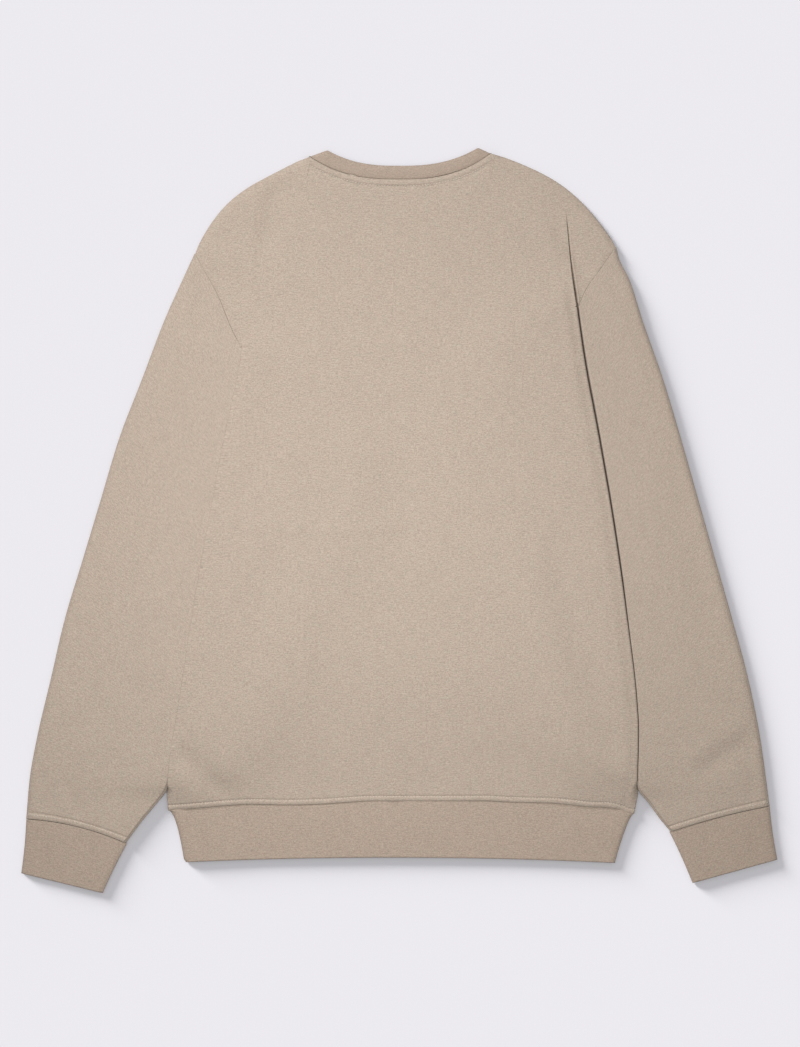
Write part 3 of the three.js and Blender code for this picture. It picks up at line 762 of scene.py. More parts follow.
def finished_panel(grid, curls, height, facing):
    """The outer face with its borders rolled in: full curls at the shoulders and side seams."""
    base = np.stack([grid["x"], grid["y"], grid["z"]], axis=-1)
    normal = np.stack([grid["nx"], 0 * grid["nx"], grid["nz"]], axis=-1)
    face = base + facing * normal * (SKIN + facing * height)[..., None]
    count = len(CURL)

    # shoulders, neck and hem
    along = unit(np.gradient(base[0][:, :2], axis=0))
    up = np.stack([-along[:, 1], along[:, 0], 0 * along[:, 0]], axis=-1)
    radius = blend(SEAM_ROLL, SKIN, grid["shoulder"][0])
    top = rolled_edge(face[0], facing * normal[0], up, radius, SEAM_DEPTH)
    down = np.zeros_like(up)
    down[:, 1] = -1.0
    radius = np.full(face.shape[1], SEAM_ROLL)
    hem = rolled_edge(face[-1], facing * normal[-1], down, radius, SEAM_DEPTH)
    face = np.concatenate((np.stack(top[::-1]), face, np.stack(hem)))
    u = padded(grid["u"], count, count)
    lead = (np.arange(count, 0, -1) * CURL_PACE)[:, None]
    v = np.concatenate((grid["v"][:1] - lead, grid["v"], grid["v"][-1:] + lead[::-1]))
    normals = padded(normal, count, count)

    # armholes and side seams
    steps = np.arange(1, count + 1) * CURL_PACE
    for sign in (-1, 1):
        column = 0 if sign < 0 else -1
        edge, edge_normal = face[:, column], normals[:, column]
        nx, nz = edge_normal[:, 0], edge_normal[:, 2]
        outward = sign * np.stack([nz, 0 * nz, -nx], axis=-1)
        radius = blend(ARM_ROLL, SKIN, padded(curls[sign], count, count))
        depth = SIDES[sign].seam_depth(TOP_OF_COLLAR - edge[:, 1])
        strips = np.stack(rolled_edge(edge, facing * edge_normal, outward, radius, depth), axis=1)
        extra_u = u[:, column][:, None] + sign * steps
        extra_v = np.repeat(v[:, column][:, None], count, 1)
        if sign < 0:
            face = np.concatenate((strips[:, ::-1], face), axis=1)
            u = np.concatenate((extra_u[:, ::-1], u), axis=1)
            v = np.concatenate((extra_v, v), axis=1)
        else:
            face = np.concatenate((face, strips), axis=1)
            u = np.concatenate((u, extra_u), axis=1)
            v = np.concatenate((v, extra_v), axis=1)
    return face, u, v


def object_from_grid(name, places, u, v, closed, flip):
    """A cloth shell: a bmesh grid moved to the given places, thickened inwards."""
    rows, columns = places.shape[:2]
    mesh = bpy.data.meshes.new(name)
    bm = bmesh.new()
    layer = bm.loops.layers.uv.new("cloth")
    bmesh.ops.create_grid(bm, x_segments=columns - 1, y_segments=rows - 1, size=1.0)
    for vert in bm.verts:
        j = round((vert.co.x + 1) / 2 * (columns - 1))
        i = round((1 - vert.co.y) / 2 * (rows - 1))
        vert.index = i * columns + j
        vert.co = Vector(places[i, j]) * MM
    for face in bm.faces:
        face.smooth = True
        for loop in face.loops:
            i, j = divmod(loop.vert.index, columns)
            loop[layer].uv = (u[i, j] * MM, v[i, j] * MM)
    if closed:
        bmesh.ops.remove_doubles(bm, verts=bm.verts, dist=1e-6)
    if flip:
        bmesh.ops.reverse_faces(bm, faces=bm.faces)
    bm.to_mesh(mesh)
    bm.free()
    piece = bpy.data.objects.new(name, mesh)
    bpy.context.scene.collection.objects.link(piece)
    wall = piece.modifiers.new("wall", "SOLIDIFY")
    wall.thickness = bpy.context.scene.cloth_look.thickness
    wall.offset = -1.0
    wall.use_even_offset = False
    bpy.context.view_layer.objects.active = piece
    with bpy.context.temp_override(object=piece, active_object=piece, selected_objects=[piece]):
        bpy.ops.object.modifier_apply(modifier=wall.name)
    # nothing lies lower than the surface that the garment rests on
    for vert in piece.data.vertices:
        vert.co.z = max(vert.co.z, 0.0)
    return piece


def edge_line(points, share):
    """How far down and out an edge lies, at a share of its drop."""
    points = np.array(points, float)
    down = blend(points[0, 0], points[-1, 0], share)
    return down, monotone_curve(points[:, 0], points[:, 1], down)


def ring_from_line(x, y, upper_z):
    """A flattened ring over a line across the tube: its upper run, a turn, its lower run, a turn."""
    turns = np.radians((20, 45, 70, 90, 110, 135, 160))
    lower_z = np.full(len(x), FLOOR_LEVEL - SKIN)
    across = unit(np.array([x[-1] - x[0], y[-1] - y[0]]))
    upper = np.stack([x, y, upper_z], axis=-1)
    lower = np.stack([x, y, lower_z], axis=-1)

    def turn(index, direction, angles):
        middle = (upper_z[index] + lower_z[index]) / 2
        half = (upper_z[index] - lower_z[index]) / 2
        px = x[index] + direction[0] * SKIN * np.sin(angles)
        py = y[index] + direction[1] * SKIN * np.sin(angles)
        return np.stack([px, py, middle + half * np.cos(angles)], axis=-1)

    there, back = turn(-1, across, turns), turn(0, -across, turns[::-1])
    return np.concatenate((upper, there, lower[::-1], back, upper[:1]))


def ring_lengths(ring):
    step = np.linalg.norm(np.diff(ring, axis=0), axis=-1)
    return np.concatenate(([0.0], np.cumsum(step)))


class Tube:
    """The rings of a flattened tube, with the cloth coordinates that run round and along it."""

    def __init__(self):
        self.rings, self.round, self.along = [], [], []

    def add(self, ring, along):
        self.rings.append(ring)
        self.round.append(ring_lengths(ring))
        self.along.append(np.full(len(ring), along))

    def finished(self, first_roll, last_roll, first_depth=None, last_depth=None, width=None):
        """The tube with both ends rolled in, so that a seam reads as a groove and an edge as a soft lip."""
        rings, around, along = (np.stack(item) for item in (self.rings, self.round, self.along))
        first_depth = SEAM_DEPTH if first_depth is None else first_depth
        last_depth = SEAM_DEPTH if last_depth is None else last_depth
        head = rolled_ring(rings[0], rings[1], first_roll, first_depth, width)[::-1]
        tail = rolled_ring(rings[-1], rings[-2], last_roll, last_depth, width)
        lead = (np.arange(len(CURL), 0, -1) * END_PACE)[:, None]
        along = np.concatenate((along[:1] - lead, along, along[-1:] + lead[::-1]))
        return np.concatenate((head, rings, tail)), padded(around, len(CURL), len(CURL)), along


def rolled_ring(ring, inner_ring, roll, depth, width):
    """Rings that carry a tube's end on and curl its upper wall down; a width makes them run square on."""
    direction = ring - inner_ring
    direction[:, 2] = 0
    if width:
        chord = unit(ring[width - 1] - ring[0])
        square_on = np.array([-chord[1], chord[0], 0.0])
        sense = np.sign((direction[:width] @ square_on).mean())
        direction = np.repeat((square_on * sense)[None], len(ring), axis=0)
    direction = unit(direction)
    above = ring[:, 2] - (ring[:, 2].max() + ring[:, 2].min()) / 2
    upper = np.clip(above / UPPER_WALL_FADE, 0, 1)
    result = []
    for angle in CURL:
        moved = ring + direction * roll * math.sin(angle)
        moved[:, 2] -= upper * roll * depth * (1 - math.cos(angle))
        result.append(moved)
    return np.stack(result)


def sleeve_stations():
    """Shares of a sleeve's length at which its rings lie, close together at both seams."""
    plain = spread(0, 1, SLEEVE_RINGS)
    at_head = np.array(HEAD_RING_PLACES) / OUTER_EDGE_LENGTH
    at_cuff = 1 - np.array(CUFF_RING_PLACES) / INNER_EDGE_LENGTH
    plain = plain[(plain == 0) | ((plain > at_head[-1]) & (plain < at_cuff[-1])) | (plain == 1)]
    return np.sort(np.concatenate((plain, at_head, at_cuff)))


def armhole_line(side):
    """The armhole's seam on the sleeve's side: shares of its drop, and how far out and down it lies."""
    sections = [side.section(t) for t in np.linspace(0, UNDERARM_SECTION, 61)]
    down = np.array([section["edge_down"] for section in sections])
    out = np.array([section["edge_out"] for section in sections]) + ARM_INSET
    past_crossing = down - side.columns["edge_down"][CROSSING_SECTION]
    slipped_under = smooth((past_crossing + 1) / 2) * np.exp(-np.maximum(past_crossing - 2, 0) / 6)
    return (down - down[0]) / (down[-1] - down[0]), out - slipped_under, down


def sleeve_line(sign, share, armhole, k):
    """A line across the sleeve from its outer edge 0 to its inner one 1, at a share of its length."""
    edges = SLEEVE_EDGES[sign]
    outer_down, outer_out = edge_line(edges["outer"], share)
    inner_down, inner_out = edge_line(edges["inner"], share)
    bow = 4 * edges["seam_rise"] * share ** 8
    out = blend(outer_out - SLEEVE_INSET, inner_out + SLEEVE_INSET * share, k)
    down = blend(outer_down, inner_down, k) - bow * k * (1 - k) - SEAM_INSET * share ** 40
    # the first rings follow the armhole's curve in place of a straight line
    seam_share, seam_out, seam_down = armhole
    near_head = max(0.0, 1 - share * 4) ** 2
    (head_down, head_out), (head_inner_down, head_inner_out) = edges["outer"][0], edges["inner"][0]
    straight_out = blend(head_out - SLEEVE_INSET, head_inner_out, k)
    straight_down = blend(head_down, head_inner_down, k)
    out = out + near_head * (np.interp(k, seam_share, seam_out) - straight_out)
    down = down + near_head * (np.interp(k, seam_share, seam_down) - straight_down)
    return out, down


def sleeve_columns(side, line):
    """Shares across a sleeve, close together at its outer edge and along the body's fold."""
    probe = np.linspace(0, 1, 401)
    out, down = line(probe)
    width = math.hypot(out[-1] - out[0], down[-1] - down[0])
    beyond = out - side.fold_out(down)
    hidden = np.nonzero(beyond < 0)[0]
    fold_share = LAST_FOLD_SHARE
    if len(hidden) and hidden[0] > 0:
        i = hidden[0]
        crossing = probe[i - 1] + probe[1] * beyond[i - 1] / (beyond[i - 1] - beyond[i])
        fold_share = min(LAST_FOLD_SHARE, crossing)
    near = np.array(FOLD_COLUMN_PLACES) / width
    count = len(near)
    near = near[(fold_share + near > 0.02) & (fold_share + near < 0.999)]
    near = fold_share + np.interp(np.linspace(0, 1, count), np.linspace(0, 1, len(near)), near)
    edge = np.array(EDGE_COLUMN_PLACES) / width
    open_part, hidden_part = spread(edge[-1], near[0], 30)[1:-1], spread(near[-1], 1, 13)[1:]
    return np.concatenate((edge, open_part, near, hidden_part)), width


def sleeve_top(sign, share, k, width, out, down):
    """Height of a sleeve's upper face: held up beside the fold, flat under it and soft at its edges."""
    side = SIDES[sign]
    x, y = sign * out, TOP_OF_COLLAR - down
    beyond = out - side.fold_out(down)
    places, lows, highs = np.array(CREVICE[sign], float).T
    step_up = eased(beyond, np.interp(down, places, lows), np.interp(down, places, highs))
    raised = side.shelf_beside(out, down) * eased(down, *SLEEVE_SETTLES) * step_up
    in_view = eased(down, *INNER_EDGE_SHOWS)
    shown = step_up * blend(1.0, rounded((1 - k) * width, INNER_EDGE_ROUND), in_view)
    outer = rounded(k * width, LOFT_EDGE)
    from_cuff = (1 - share) * INNER_EDGE_LENGTH
    detail = crease_height(SLEEVE_CREASES[sign], x, y) + CALMNESS * rolling(x + 60, y - 35)
    detail = detail * smooth(k * width / 18) * smooth(from_cuff / 14) * smooth(share * 12)
    turned_up = CUFF_RIDGE * float(ridge(from_cuff, HEM_RIDGE_WIDTH, CUFF_DIP)) * outer
    return FLOOR_LEVEL + SKIN + raised + LOFT * outer * shown + shown * (detail + turned_up)


def sleeve_grid(sign):
    """Rings of one sleeve, raised beside the body's folded edge and tucked beneath it."""
    side = SIDES[sign]
    armhole = armhole_line(side)
    tube = Tube()
    walked = 0.0
    last_middle = None
    for share in sleeve_stations():
        k, width = sleeve_columns(side, lambda at: sleeve_line(sign, share, armhole, at))
        out, down = sleeve_line(sign, share, armhole, k)
        upper = sleeve_top(sign, share, k, width, out, down)
        ring = ring_from_line(sign * out, TOP_OF_COLLAR - down, upper)
        middle = np.array([sign * out.mean(), TOP_OF_COLLAR - down.mean()])
        if last_middle is not None:
            walked += float(np.linalg.norm(middle - last_middle))
        last_middle = middle
        tube.add(ring, walked)
    head_depth = side.seam_depth(TOP_OF_COLLAR - tube.rings[0][:, 1])
    return tube.finished(ARM_ROLL, SEAM_ROLL, first_depth=head_depth, width=len(k))


def band_rows(length):
    near = np.array((0, 0.6, 1.4, 2.5, 4.0))
    return np.concatenate((near, np.linspace(6, length - 6, 10), length - near[::-1])) / length


def cuff_grid(sign):
    """Rings of one cuff, from the sleeve's seam to its open end."""
    corners = CUFF_CORNERS[sign]
    rise = SLEEVE_EDGES[sign]["seam_rise"]
    edge = np.array((0, 0.008, 0.018, 0.035, 0.06))
    k = np.concatenate((edge, spread(0.09, 0.91, 26), 1 - edge[::-1]))
    round_edge = rounded(np.minimum(k, 1 - k), 0.06)
    tube = Tube()
    for share in band_rows(CUFF_DEPTH):
        (seam_down, seam_out), (seam_inner_down, seam_inner_out) = corners["seam"]
        (end_down, end_out), (end_inner_down, end_inner_out) = corners["end"]
        seam = blend(seam_down, seam_inner_down, k) - 4 * k * (1 - k) * rise + SEAM_INSET
        end = blend(end_down, end_inner_down, k) - SEAM_INSET
        at_seam = blend(seam_out - SKIN, seam_inner_out + SKIN, k)
        at_end = blend(end_out - SKIN, end_inner_out + SKIN, k)
        out = blend(at_seam, at_end, share) + CUFF_BULGE * math.sin(math.pi * share) * (k - 0.5)
        x, y = sign * out, TOP_OF_COLLAR - blend(seam, end, share)
        upper = FLOOR_LEVEL + SKIN + (1.0 + 0.5 * rolling(x * 1.4, y * 1.4)) * round_edge
        tube.add(ring_from_line(x, y, upper), share * CUFF_DEPTH)
    return tube.finished(SEAM_ROLL, EDGE_ROLL, last_depth=EDGE_DEPTH, width=len(k))


def hem_grid():
    """Rings of the hem band, from the body's seam to its open end."""
    left, right = (side.columns["edge_out"][-1] for side in (LEFT, RIGHT))
    total = left + right
    edge = np.array((0, 0.6, 1.4, 2.6, 4.4)) / total
    k = np.concatenate((edge, spread(7 / total, 1 - 7 / total, 110), 1 - edge[::-1]))
    from_edge = np.minimum(k, 1 - k) * total
    round_edge = rounded(from_edge, LOFT_EDGE)
    seam_x = blend(-left, right, k)
    seam_down = hem_seam_down(seam_x) + SEAM_INSET
    end_x = blend(-HEM_END[-1][1] + SKIN, HEM_END[1][1] - SKIN, k)
    end_down = blend(HEM_END[-1][0], HEM_END[1][0], k) - 4 * k * (1 - k) * HEM_END["rise"] - SEAM_INSET
    power = np.where(k < 0.5, HEM_SIDE_POWER[-1], HEM_SIDE_POWER[1])
    tube = Tube()
    for share in band_rows(HEM_DEPTH):
        y = TOP_OF_COLLAR - blend(seam_down, end_down, share)
        near_end = max(0.0, 1 - (1 - share) * HEM_DEPTH / HEM_CORNER)
        corner = 0.55 * HEM_CORNER * (1 - math.sqrt(1 - 0.98 * near_end ** 2))
        x = blend(seam_x, end_x, share ** power)
        x = x + np.where(k < 0.5, corner, 0) * np.exp(-from_edge / 4.0)
        upper = FLOOR_LEVEL + SKIN + (1.0 + 0.6 * rolling(x * 1.2, y * 1.3)) * round_edge
        tube.add(ring_from_line(x, y, upper), share * HEM_DEPTH)
    return tube.finished(SEAM_ROLL, EDGE_ROLL, last_depth=EDGE_DEPTH, width=len(k))


def collar_line(share, which, shares):
    """A line round the neck, between the collar's seam 0 and its free edge 1."""
    left = shares < 0
    k = np.abs(shares)
    seam_down_end, seam_out_end = (np.where(left, *pair) for pair in zip(COLLAR_SEAM[-1], COLLAR_SEAM[1]))
    free_down_end, free_out_end = (np.where(left, *pair) for pair in zip(COLLAR_FREE[-1], COLLAR_FREE[1]))
    seam_down = neckline(seam_down_end, NECK_DEPTH[which] - SEAM_INSET, NECK_POWER[which], k)
    free_down = neckline(free_down_end, COLLAR_FREE_DEPTH[which] + FREE_EDGE_INSET, NECK_POWER[which], k)
    x = np.sign(shares) * blend(seam_out_end, free_out_end, share) * k
    return x, TOP_OF_COLLAR - blend(seam_down, free_down, share)


def collar_grid():
    """Rings of the collar: its upper run lies along the back neck and its lower one along the front's."""
    shares = np.concatenate((-spread(1, 0, 40), spread(0, 1, 40)[1:]))
    ends = rounded(1 - np.abs(shares), 0.08)
    near = np.array((0, 0.04, 0.1, 0.18))
    tube = Tube()
    for share in np.concatenate((near, np.linspace(0.28, 0.72, 5), 1 - near[::-1])):
        x, y = collar_line(share, "back", shares)
        crown = COLLAR_CROWN * math.sqrt(max(0.0, 1 - abs(2 * share - 0.9) ** 2.4))
        ring = ring_from_line(x, y, FLOOR_LEVEL + SKIN + crown * ends)
        count = len(x)
        turn = (len(ring) - 1 - 2 * count) // 2
        lower = slice(count + turn, 2 * count + turn)
        low_x, low_y = collar_line(share, "front", shares)
        ring[lower, 0] = low_x[::-1]
        ring[lower, 1] = low_y[::-1]
        tube.add(ring, share * COLLAR_DEPTH)
    return tube.finished(SEAM_ROLL, COLLAR_ROLL)


class Shade:
    """A value in a material that takes part in sums with numbers and other values."""

    def __init__(self, finish, socket):
        self.finish = finish
        self.socket = socket

    def math(self, operation, *values):
        return self.finish.node("ShaderNodeMath", {"operation": operation}, values)

    def __add__(self, other):
        return self.math("ADD", self, other)

    def __radd__(self, other):
        return self.math("ADD", other, self)

    def __sub__(self, other):
        return self.math("SUBTRACT", self, other)

    def __rsub__(self, other):
        return self.math("SUBTRACT", other, self)

    def __mul__(self, other):
        return self.math("MULTIPLY", self, other)

    def __rmul__(self, other):
        return self.math("MULTIPLY", other, self)

    def wave(self, length):
        """A wave that repeats after the given length."""
        return self.math("SINE", self * (2 * math.pi / length))

    def clamp(self):
        return self.finish.node("ShaderNodeClamp", {}, [self])


class Finish:
    """A new material and the nodes that make it up."""

    MIX_FACTOR, MIX_A, MIX_B = 0, 6, 7
    MIX_RESULT = 2
    OBJECT_PLACE = 3

    def __init__(self, name):
        self.material = bpy.data.materials.new(name)
        self.material.use_nodes = True
        self.tree = self.material.node_tree
        self.tree.nodes.clear()

    def node(self, kind, settings, values, output=0):
        """A node of the given kind, with its settings made first and then its sockets filled."""
        made = self.tree.nodes.new(kind)
        for key, value in settings.items():
            setattr(made, key, value)
        for key, value in values.items() if isinstance(values, dict) else enumerate(values):
            if isinstance(value, Shade):
                self.tree.links.new(value.socket, made.inputs[key])
            else:
                made.inputs[key].default_value = value
        return Shade(self, made.outputs[output]) if made.outputs else None

    def mix(self, factor, a, b, blend_type="MIX"):
        """A colour mixed from two others; plain colours are three numbers."""
        a, b = (colour if isinstance(colour, Shade) else (*colour, 1.0) for colour in (a, b))
        settings = {"data_type": "RGBA", "blend_type": blend_type}
        sockets = {self.MIX_FACTOR: factor, self.MIX_A: a, self.MIX_B: b}
        return self.node("ShaderNodeMix", settings, sockets, self.MIX_RESULT)

    def cloth_noise(self, cloth, across, along, detail, offset=0.0):
        """Noise whose grains are the given sizes, in millimetres, across and along the cloth."""
        scale = (1 / (across * MM), 1 / (along * MM), 1.0)
        place = {"Vector": cloth, "Scale": scale, "Location": (offset, offset, 0)}
        grain = {"Vector": self.node("ShaderNodeMapping", {}, place), "Scale": 1.0, "Detail": detail}
        return self.node("ShaderNodeTexNoise", {"noise_dimensions": "2D"}, {**grain, "Roughness": 0.6})

    def object_noise(self, scale):
        place = self.node("ShaderNodeTexCoord", {}, {}, self.OBJECT_PLACE)
        return self.node("ShaderNodeTexNoise", {}, {"Vector": place, "Scale": scale, "Detail": 1.0})

    def finished(self, sockets):
        shader = self.node("ShaderNodeBsdfPrincipled", {}, sockets)
        self.node("ShaderNodeOutputMaterial", {}, {"Surface": shader})
        return self.material


def knit_material(name, colour, wale):
    """Heather knit: light and dark fibres drawn out along the courses, with wales of the given width."""
    look = bpy.context.scene.cloth_look
    finish = Finish(name)
    cloth = finish.node("ShaderNodeUVMap", {"uv_map": "cloth"}, {})
    streak = finish.cloth_noise(cloth, 2.9, 0.9, 2.0) - 0.5
    fleck = finish.cloth_noise(cloth, 1.1, 0.9, 1.0, 3.7) - 0.5
    patch = finish.cloth_noise(cloth, 34.0, 22.0, 2.0, 8.1) - 0.5
    long_streak = finish.cloth_noise(cloth, 11.0, 1.3, 1.0, 5.3) - 0.5
    heather = 1.5 * streak + 1.5 * fleck + 0.6 * long_streak + 0.15 * patch
    dark = tuple(c * (1 - look.contrast) for c in colour)
    light = tuple(min(1.0, c * (1 + look.contrast)) for c in colour)
    fibres = finish.mix((heather * look.heather + 0.5).clamp(), dark, light)
    warmth = (2.2 * (finish.cloth_noise(cloth, 7.0, 4.5, 2.0, 6.6) - 0.5) + 0.5).clamp()
    tint = finish.mix(warmth, WARM_TINT, COOL_TINT)
    across = finish.node("ShaderNodeSeparateXYZ", {}, [cloth], 0)
    along = finish.node("ShaderNodeSeparateXYZ", {}, [cloth], 1)
    wales = (0.5 if wale > JERSEY_WALE else 0.25) * across.wave(wale * MM)
    relief = wales + 0.12 * along.wave(COURSE * MM) + 0.9 * streak + 0.8 * fleck
    bump = {"Strength": look.bump, "Distance": KNIT_RELIEF * MM, "Height": relief}
    return finish.finished({
        "Base Color": finish.mix(1.0, fibres, tint, "MULTIPLY"),
        "Roughness": 0.93 + 0.08 * fleck,
        "Normal": finish.node("ShaderNodeBump", {}, bump),
        "Specular IOR Level": 0.25,
        "Sheen Weight": look.nap,
        "Sheen Roughness": 0.55,
        "Sheen Tint": (*colour, 1.0),
    })


def thread_material():
    colour = tuple(bpy.context.scene.cloth_look.thread_colour)
    finish = Finish("stitching_thread")
    dark = tuple(c * 0.82 for c in colour)
    light = tuple(min(1.0, c * 1.1) for c in colour)
    twist = finish.mix(finish.object_noise(900.0), dark, light)
    return finish.finished({"Base Color": twist, "Roughness": 0.6})


def backdrop_material():
    colour = tuple(bpy.context.scene.stage.floor_colour)
    finish = Finish("backdrop")
    grain = finish.mix(finish.object_noise(3.0), tuple(c * 0.995 for c in colour), colour)
    return finish.finished({"Base Color": grain, "Roughness": 0.9, "Specular IOR Level": 0.0})


class ClothLook(bpy.types.PropertyGroup):
    """Colours and knit of the cloth"""

    jersey_colour: FloatVectorProperty(
        name="Jersey colour", description="Mean colour of the heather jersey", subtype="COLOR",
        size=3, min=0, max=1, default=(0.298, 0.2435, 0.1965),
    )
    rib_colour: FloatVectorProperty(
        name="Rib colour", description="Mean colour of the cuffs and hem band", subtype="COLOR",
        size=3, min=0, max=1, default=(0.283, 0.225, 0.179),
    )
    # The collar's colour is the rib's colour darkened by about 7 per cent: painted shade for the collar
    # lying in shadow.
    collar_shaded_colour: FloatVectorProperty(
        name="Collar colour", description="Mean colour of the collar's rib", subtype="COLOR",
        size=3, min=0, max=1, default=(0.266, 0.210, 0.167),
    )
    thread_colour: FloatVectorProperty(
        name="Thread colour", description="Colour of the topstitching", subtype="COLOR",
        size=3, min=0, max=1, default=(0.47, 0.405, 0.345),
    )
    heather: FloatProperty(
        name="Heather", description="How far the fibres part in colour", default=1.0, min=0, max=3,
    )
    contrast: FloatProperty(
        name="Contrast", description="Lightest and darkest fibre about the mean",
        default=0.215, min=0, max=1,
    )
    bump: FloatProperty(
        name="Relief", description="Strength of the knit's relief", default=0.35, min=0, max=1,
    )
    nap: FloatProperty(
        name="Nap", description="Weight of the brushed face's soft sheen", default=0.12, min=0, max=1,
    )
    thickness: FloatProperty(
        name="Cloth thickness", description="Thickness of the jersey", default=0.0010, unit="LENGTH",
    )


class Sewing(bpy.types.PropertyGroup):
    """Sizes of the topstitching"""

    stitch: FloatProperty(
        name="Stitch", description="Length of one stitch", default=0.0021, unit="LENGTH",
    )
    pitch: FloatProperty(
        name="Pitch", description="From one stitch to the next", default=0.0029, unit="LENGTH",
    )
    thread: FloatProperty(
        name="Thread", description="Diameter of the thread", default=0.00064, unit="LENGTH",
    )
    hem_row: FloatProperty(
        name="Hem row", description="Stitching above the hem and cuff seams", default=0.0046, unit="LENGTH",
    )
    neck_row: FloatProperty(
        name="Neck row", description="Stitching below the neck seam", default=0.0066, unit="LENGTH",
    )


class Stage(bpy.types.PropertyGroup):
    """Floor, light and camera"""

    floor_colour: FloatVectorProperty(
        name="Floor colour", description="Colour of the plain floor", subtype="COLOR",
        size=3, min=0, max=1, default=(0.792, 0.777, 0.812),
    )
    frame_height: FloatProperty(
        name="Frame height", description="Height of the picture on the floor", default=1.047, unit="LENGTH",
    )
    lens: FloatProperty(
        name="Lens", description="Focal length in millimetres", default=100.0, min=20,
    )
    key: FloatProperty(
        name="Key light", description="Power of the lamp at the upper left, in watts", default=30.0, min=0,
    )
    overhead: FloatProperty(
        name="Overhead light", description="Power of the lamp above, in watts", default=7.1, min=0,
    )
    ground_light: FloatProperty(
        name="Floor light", description="Strength of the low light that draws the shadow",
        default=6.6, min=0,
    )
    fill: FloatProperty(
        name="Fill light", description="Strength of the light from all round", default=0.40, min=0,
    )


def knit(name):
    """The knit of the given name, made when a piece first asks for it."""
    look = bpy.context.scene.cloth_look
    colour, wale = {
        "heather_jersey": (look.jersey_colour, JERSEY_WALE),
        "heather_rib": (look.rib_colour, RIB_WALE),
        # the collar's knit takes the darker collar colour, which is painted shade on its rib
        "collar_rib_painted_shade": (look.collar_shaded_colour, RIB_WALE),
    }[name]
    return bpy.data.materials.get(name) or knit_material(name, tuple(colour), wale)


def dress(name, piece, material):
    """Gives a piece its finish and hands it to the frame in place of its solid."""
    piece.data.materials.append(material)
    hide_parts(name)
    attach(piece, "root")


class MakeBody(bpy.types.Operator):
    """Lays the back panel over the front panel, with both sides folded under"""

    bl_idname = "sweatshirt.body"
    bl_label = "Back and front"

    def execute(self, context):
        for name, facing, step, fine in (("back", 1, 4.0, True), ("front", -1, 12.0, False)):
            grid, curls, height = body_grid(name, facing, step, fine)
            panel = finished_panel(grid, curls, height, facing)
            piece = object_from_grid(f"{name}_jersey", *panel, closed=False, flip=facing < 0)
            dress(name, piece, knit("heather_jersey"))
        return {"FINISHED"}


class MakeSleeves(bpy.types.Operator):
    """Lays both sleeves down beside the body and under its folded edges"""

    bl_idname = "sweatshirt.sleeves"
    bl_label = "Sleeves"

    def execute(self, context):
        for name, sign in SLEEVES:
            piece = object_from_grid(f"{name}_jersey", *sleeve_grid(sign), closed=True, flip=sign > 0)
            dress(name, piece, knit("heather_jersey"))
        return {"FINISHED"}


class MakeRibs(bpy.types.Operator):
    """Adds the cuffs, the hem band and the collar"""

    bl_idname = "sweatshirt.ribs"
    bl_label = "Rib bands"

    def execute(self, context):
        bands = (
            ("cuff_left", cuff_grid(-1), False, "heather_rib"),
            ("cuff_right", cuff_grid(1), True, "heather_rib"),
            ("hem_band", hem_grid(), False, "heather_rib"),
            ("collar", collar_grid(), True, "collar_rib_painted_shade"),
        )
        for name, tube, flip, material in bands:
            piece = object_from_grid(f"{name}_rib", *tube, closed=True, flip=flip)
            dress(name, piece, knit(material))
        return {"FINISHED"}


def stitch_row(name, line, carrier):
    """Short stitches along a line in plan, lying on the piece that carries them."""
    sewing = bpy.context.scene.sewing
    tree = BVHTree.FromObject(carrier, bpy.context.evaluated_depsgraph_get())
    line = np.asarray(line) * MM
    step = np.linalg.norm(np.diff(line, axis=0), axis=1)
    walked = np.concatenate(([0.0], np.cumsum(step)))
    bm = bmesh.new()
    for i in range(int(walked[-1] / sewing.pitch)):
        middle = (i + 0.5) * sewing.pitch
        here, ahead = (
            np.array([np.interp(place, walked, line[:, k]) for k in (0, 1)])
            for place in (middle, middle + MM)
        )
        surface = tree.ray_cast(Vector((*here, ABOVE_ALL)), Vector((0, 0, -1)))[0]
        if surface is None:
            continue
        stitch = bmesh.ops.create_uvsphere(bm, u_segments=6, v_segments=5, radius=0.5)["verts"]
        bmesh.ops.scale(bm, verts=stitch, vec=(sewing.stitch, sewing.thread, sewing.thread))
        turn = Matrix.Rotation(math.atan2(ahead[1] - here[1], ahead[0] - here[0]), 3, "Z")
        bmesh.ops.rotate(bm, verts=stitch, cent=(0, 0, 0), matrix=turn)
        bmesh.ops.translate(bm, verts=stitch, vec=(*here, surface.z + sewing.thread * STITCH_LIFT))
    for face in bm.faces:
        face.smooth = True
    mesh = bpy.data.meshes.new(name)
    bm.to_mesh(mesh)
    bm.free()
    piece = bpy.data.objects.new(name, mesh)
    bpy.context.scene.collection.objects.link(piece)
    mesh.materials.append(bpy.data.materials.get("stitching_thread") or thread_material())
    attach(piece, "root")


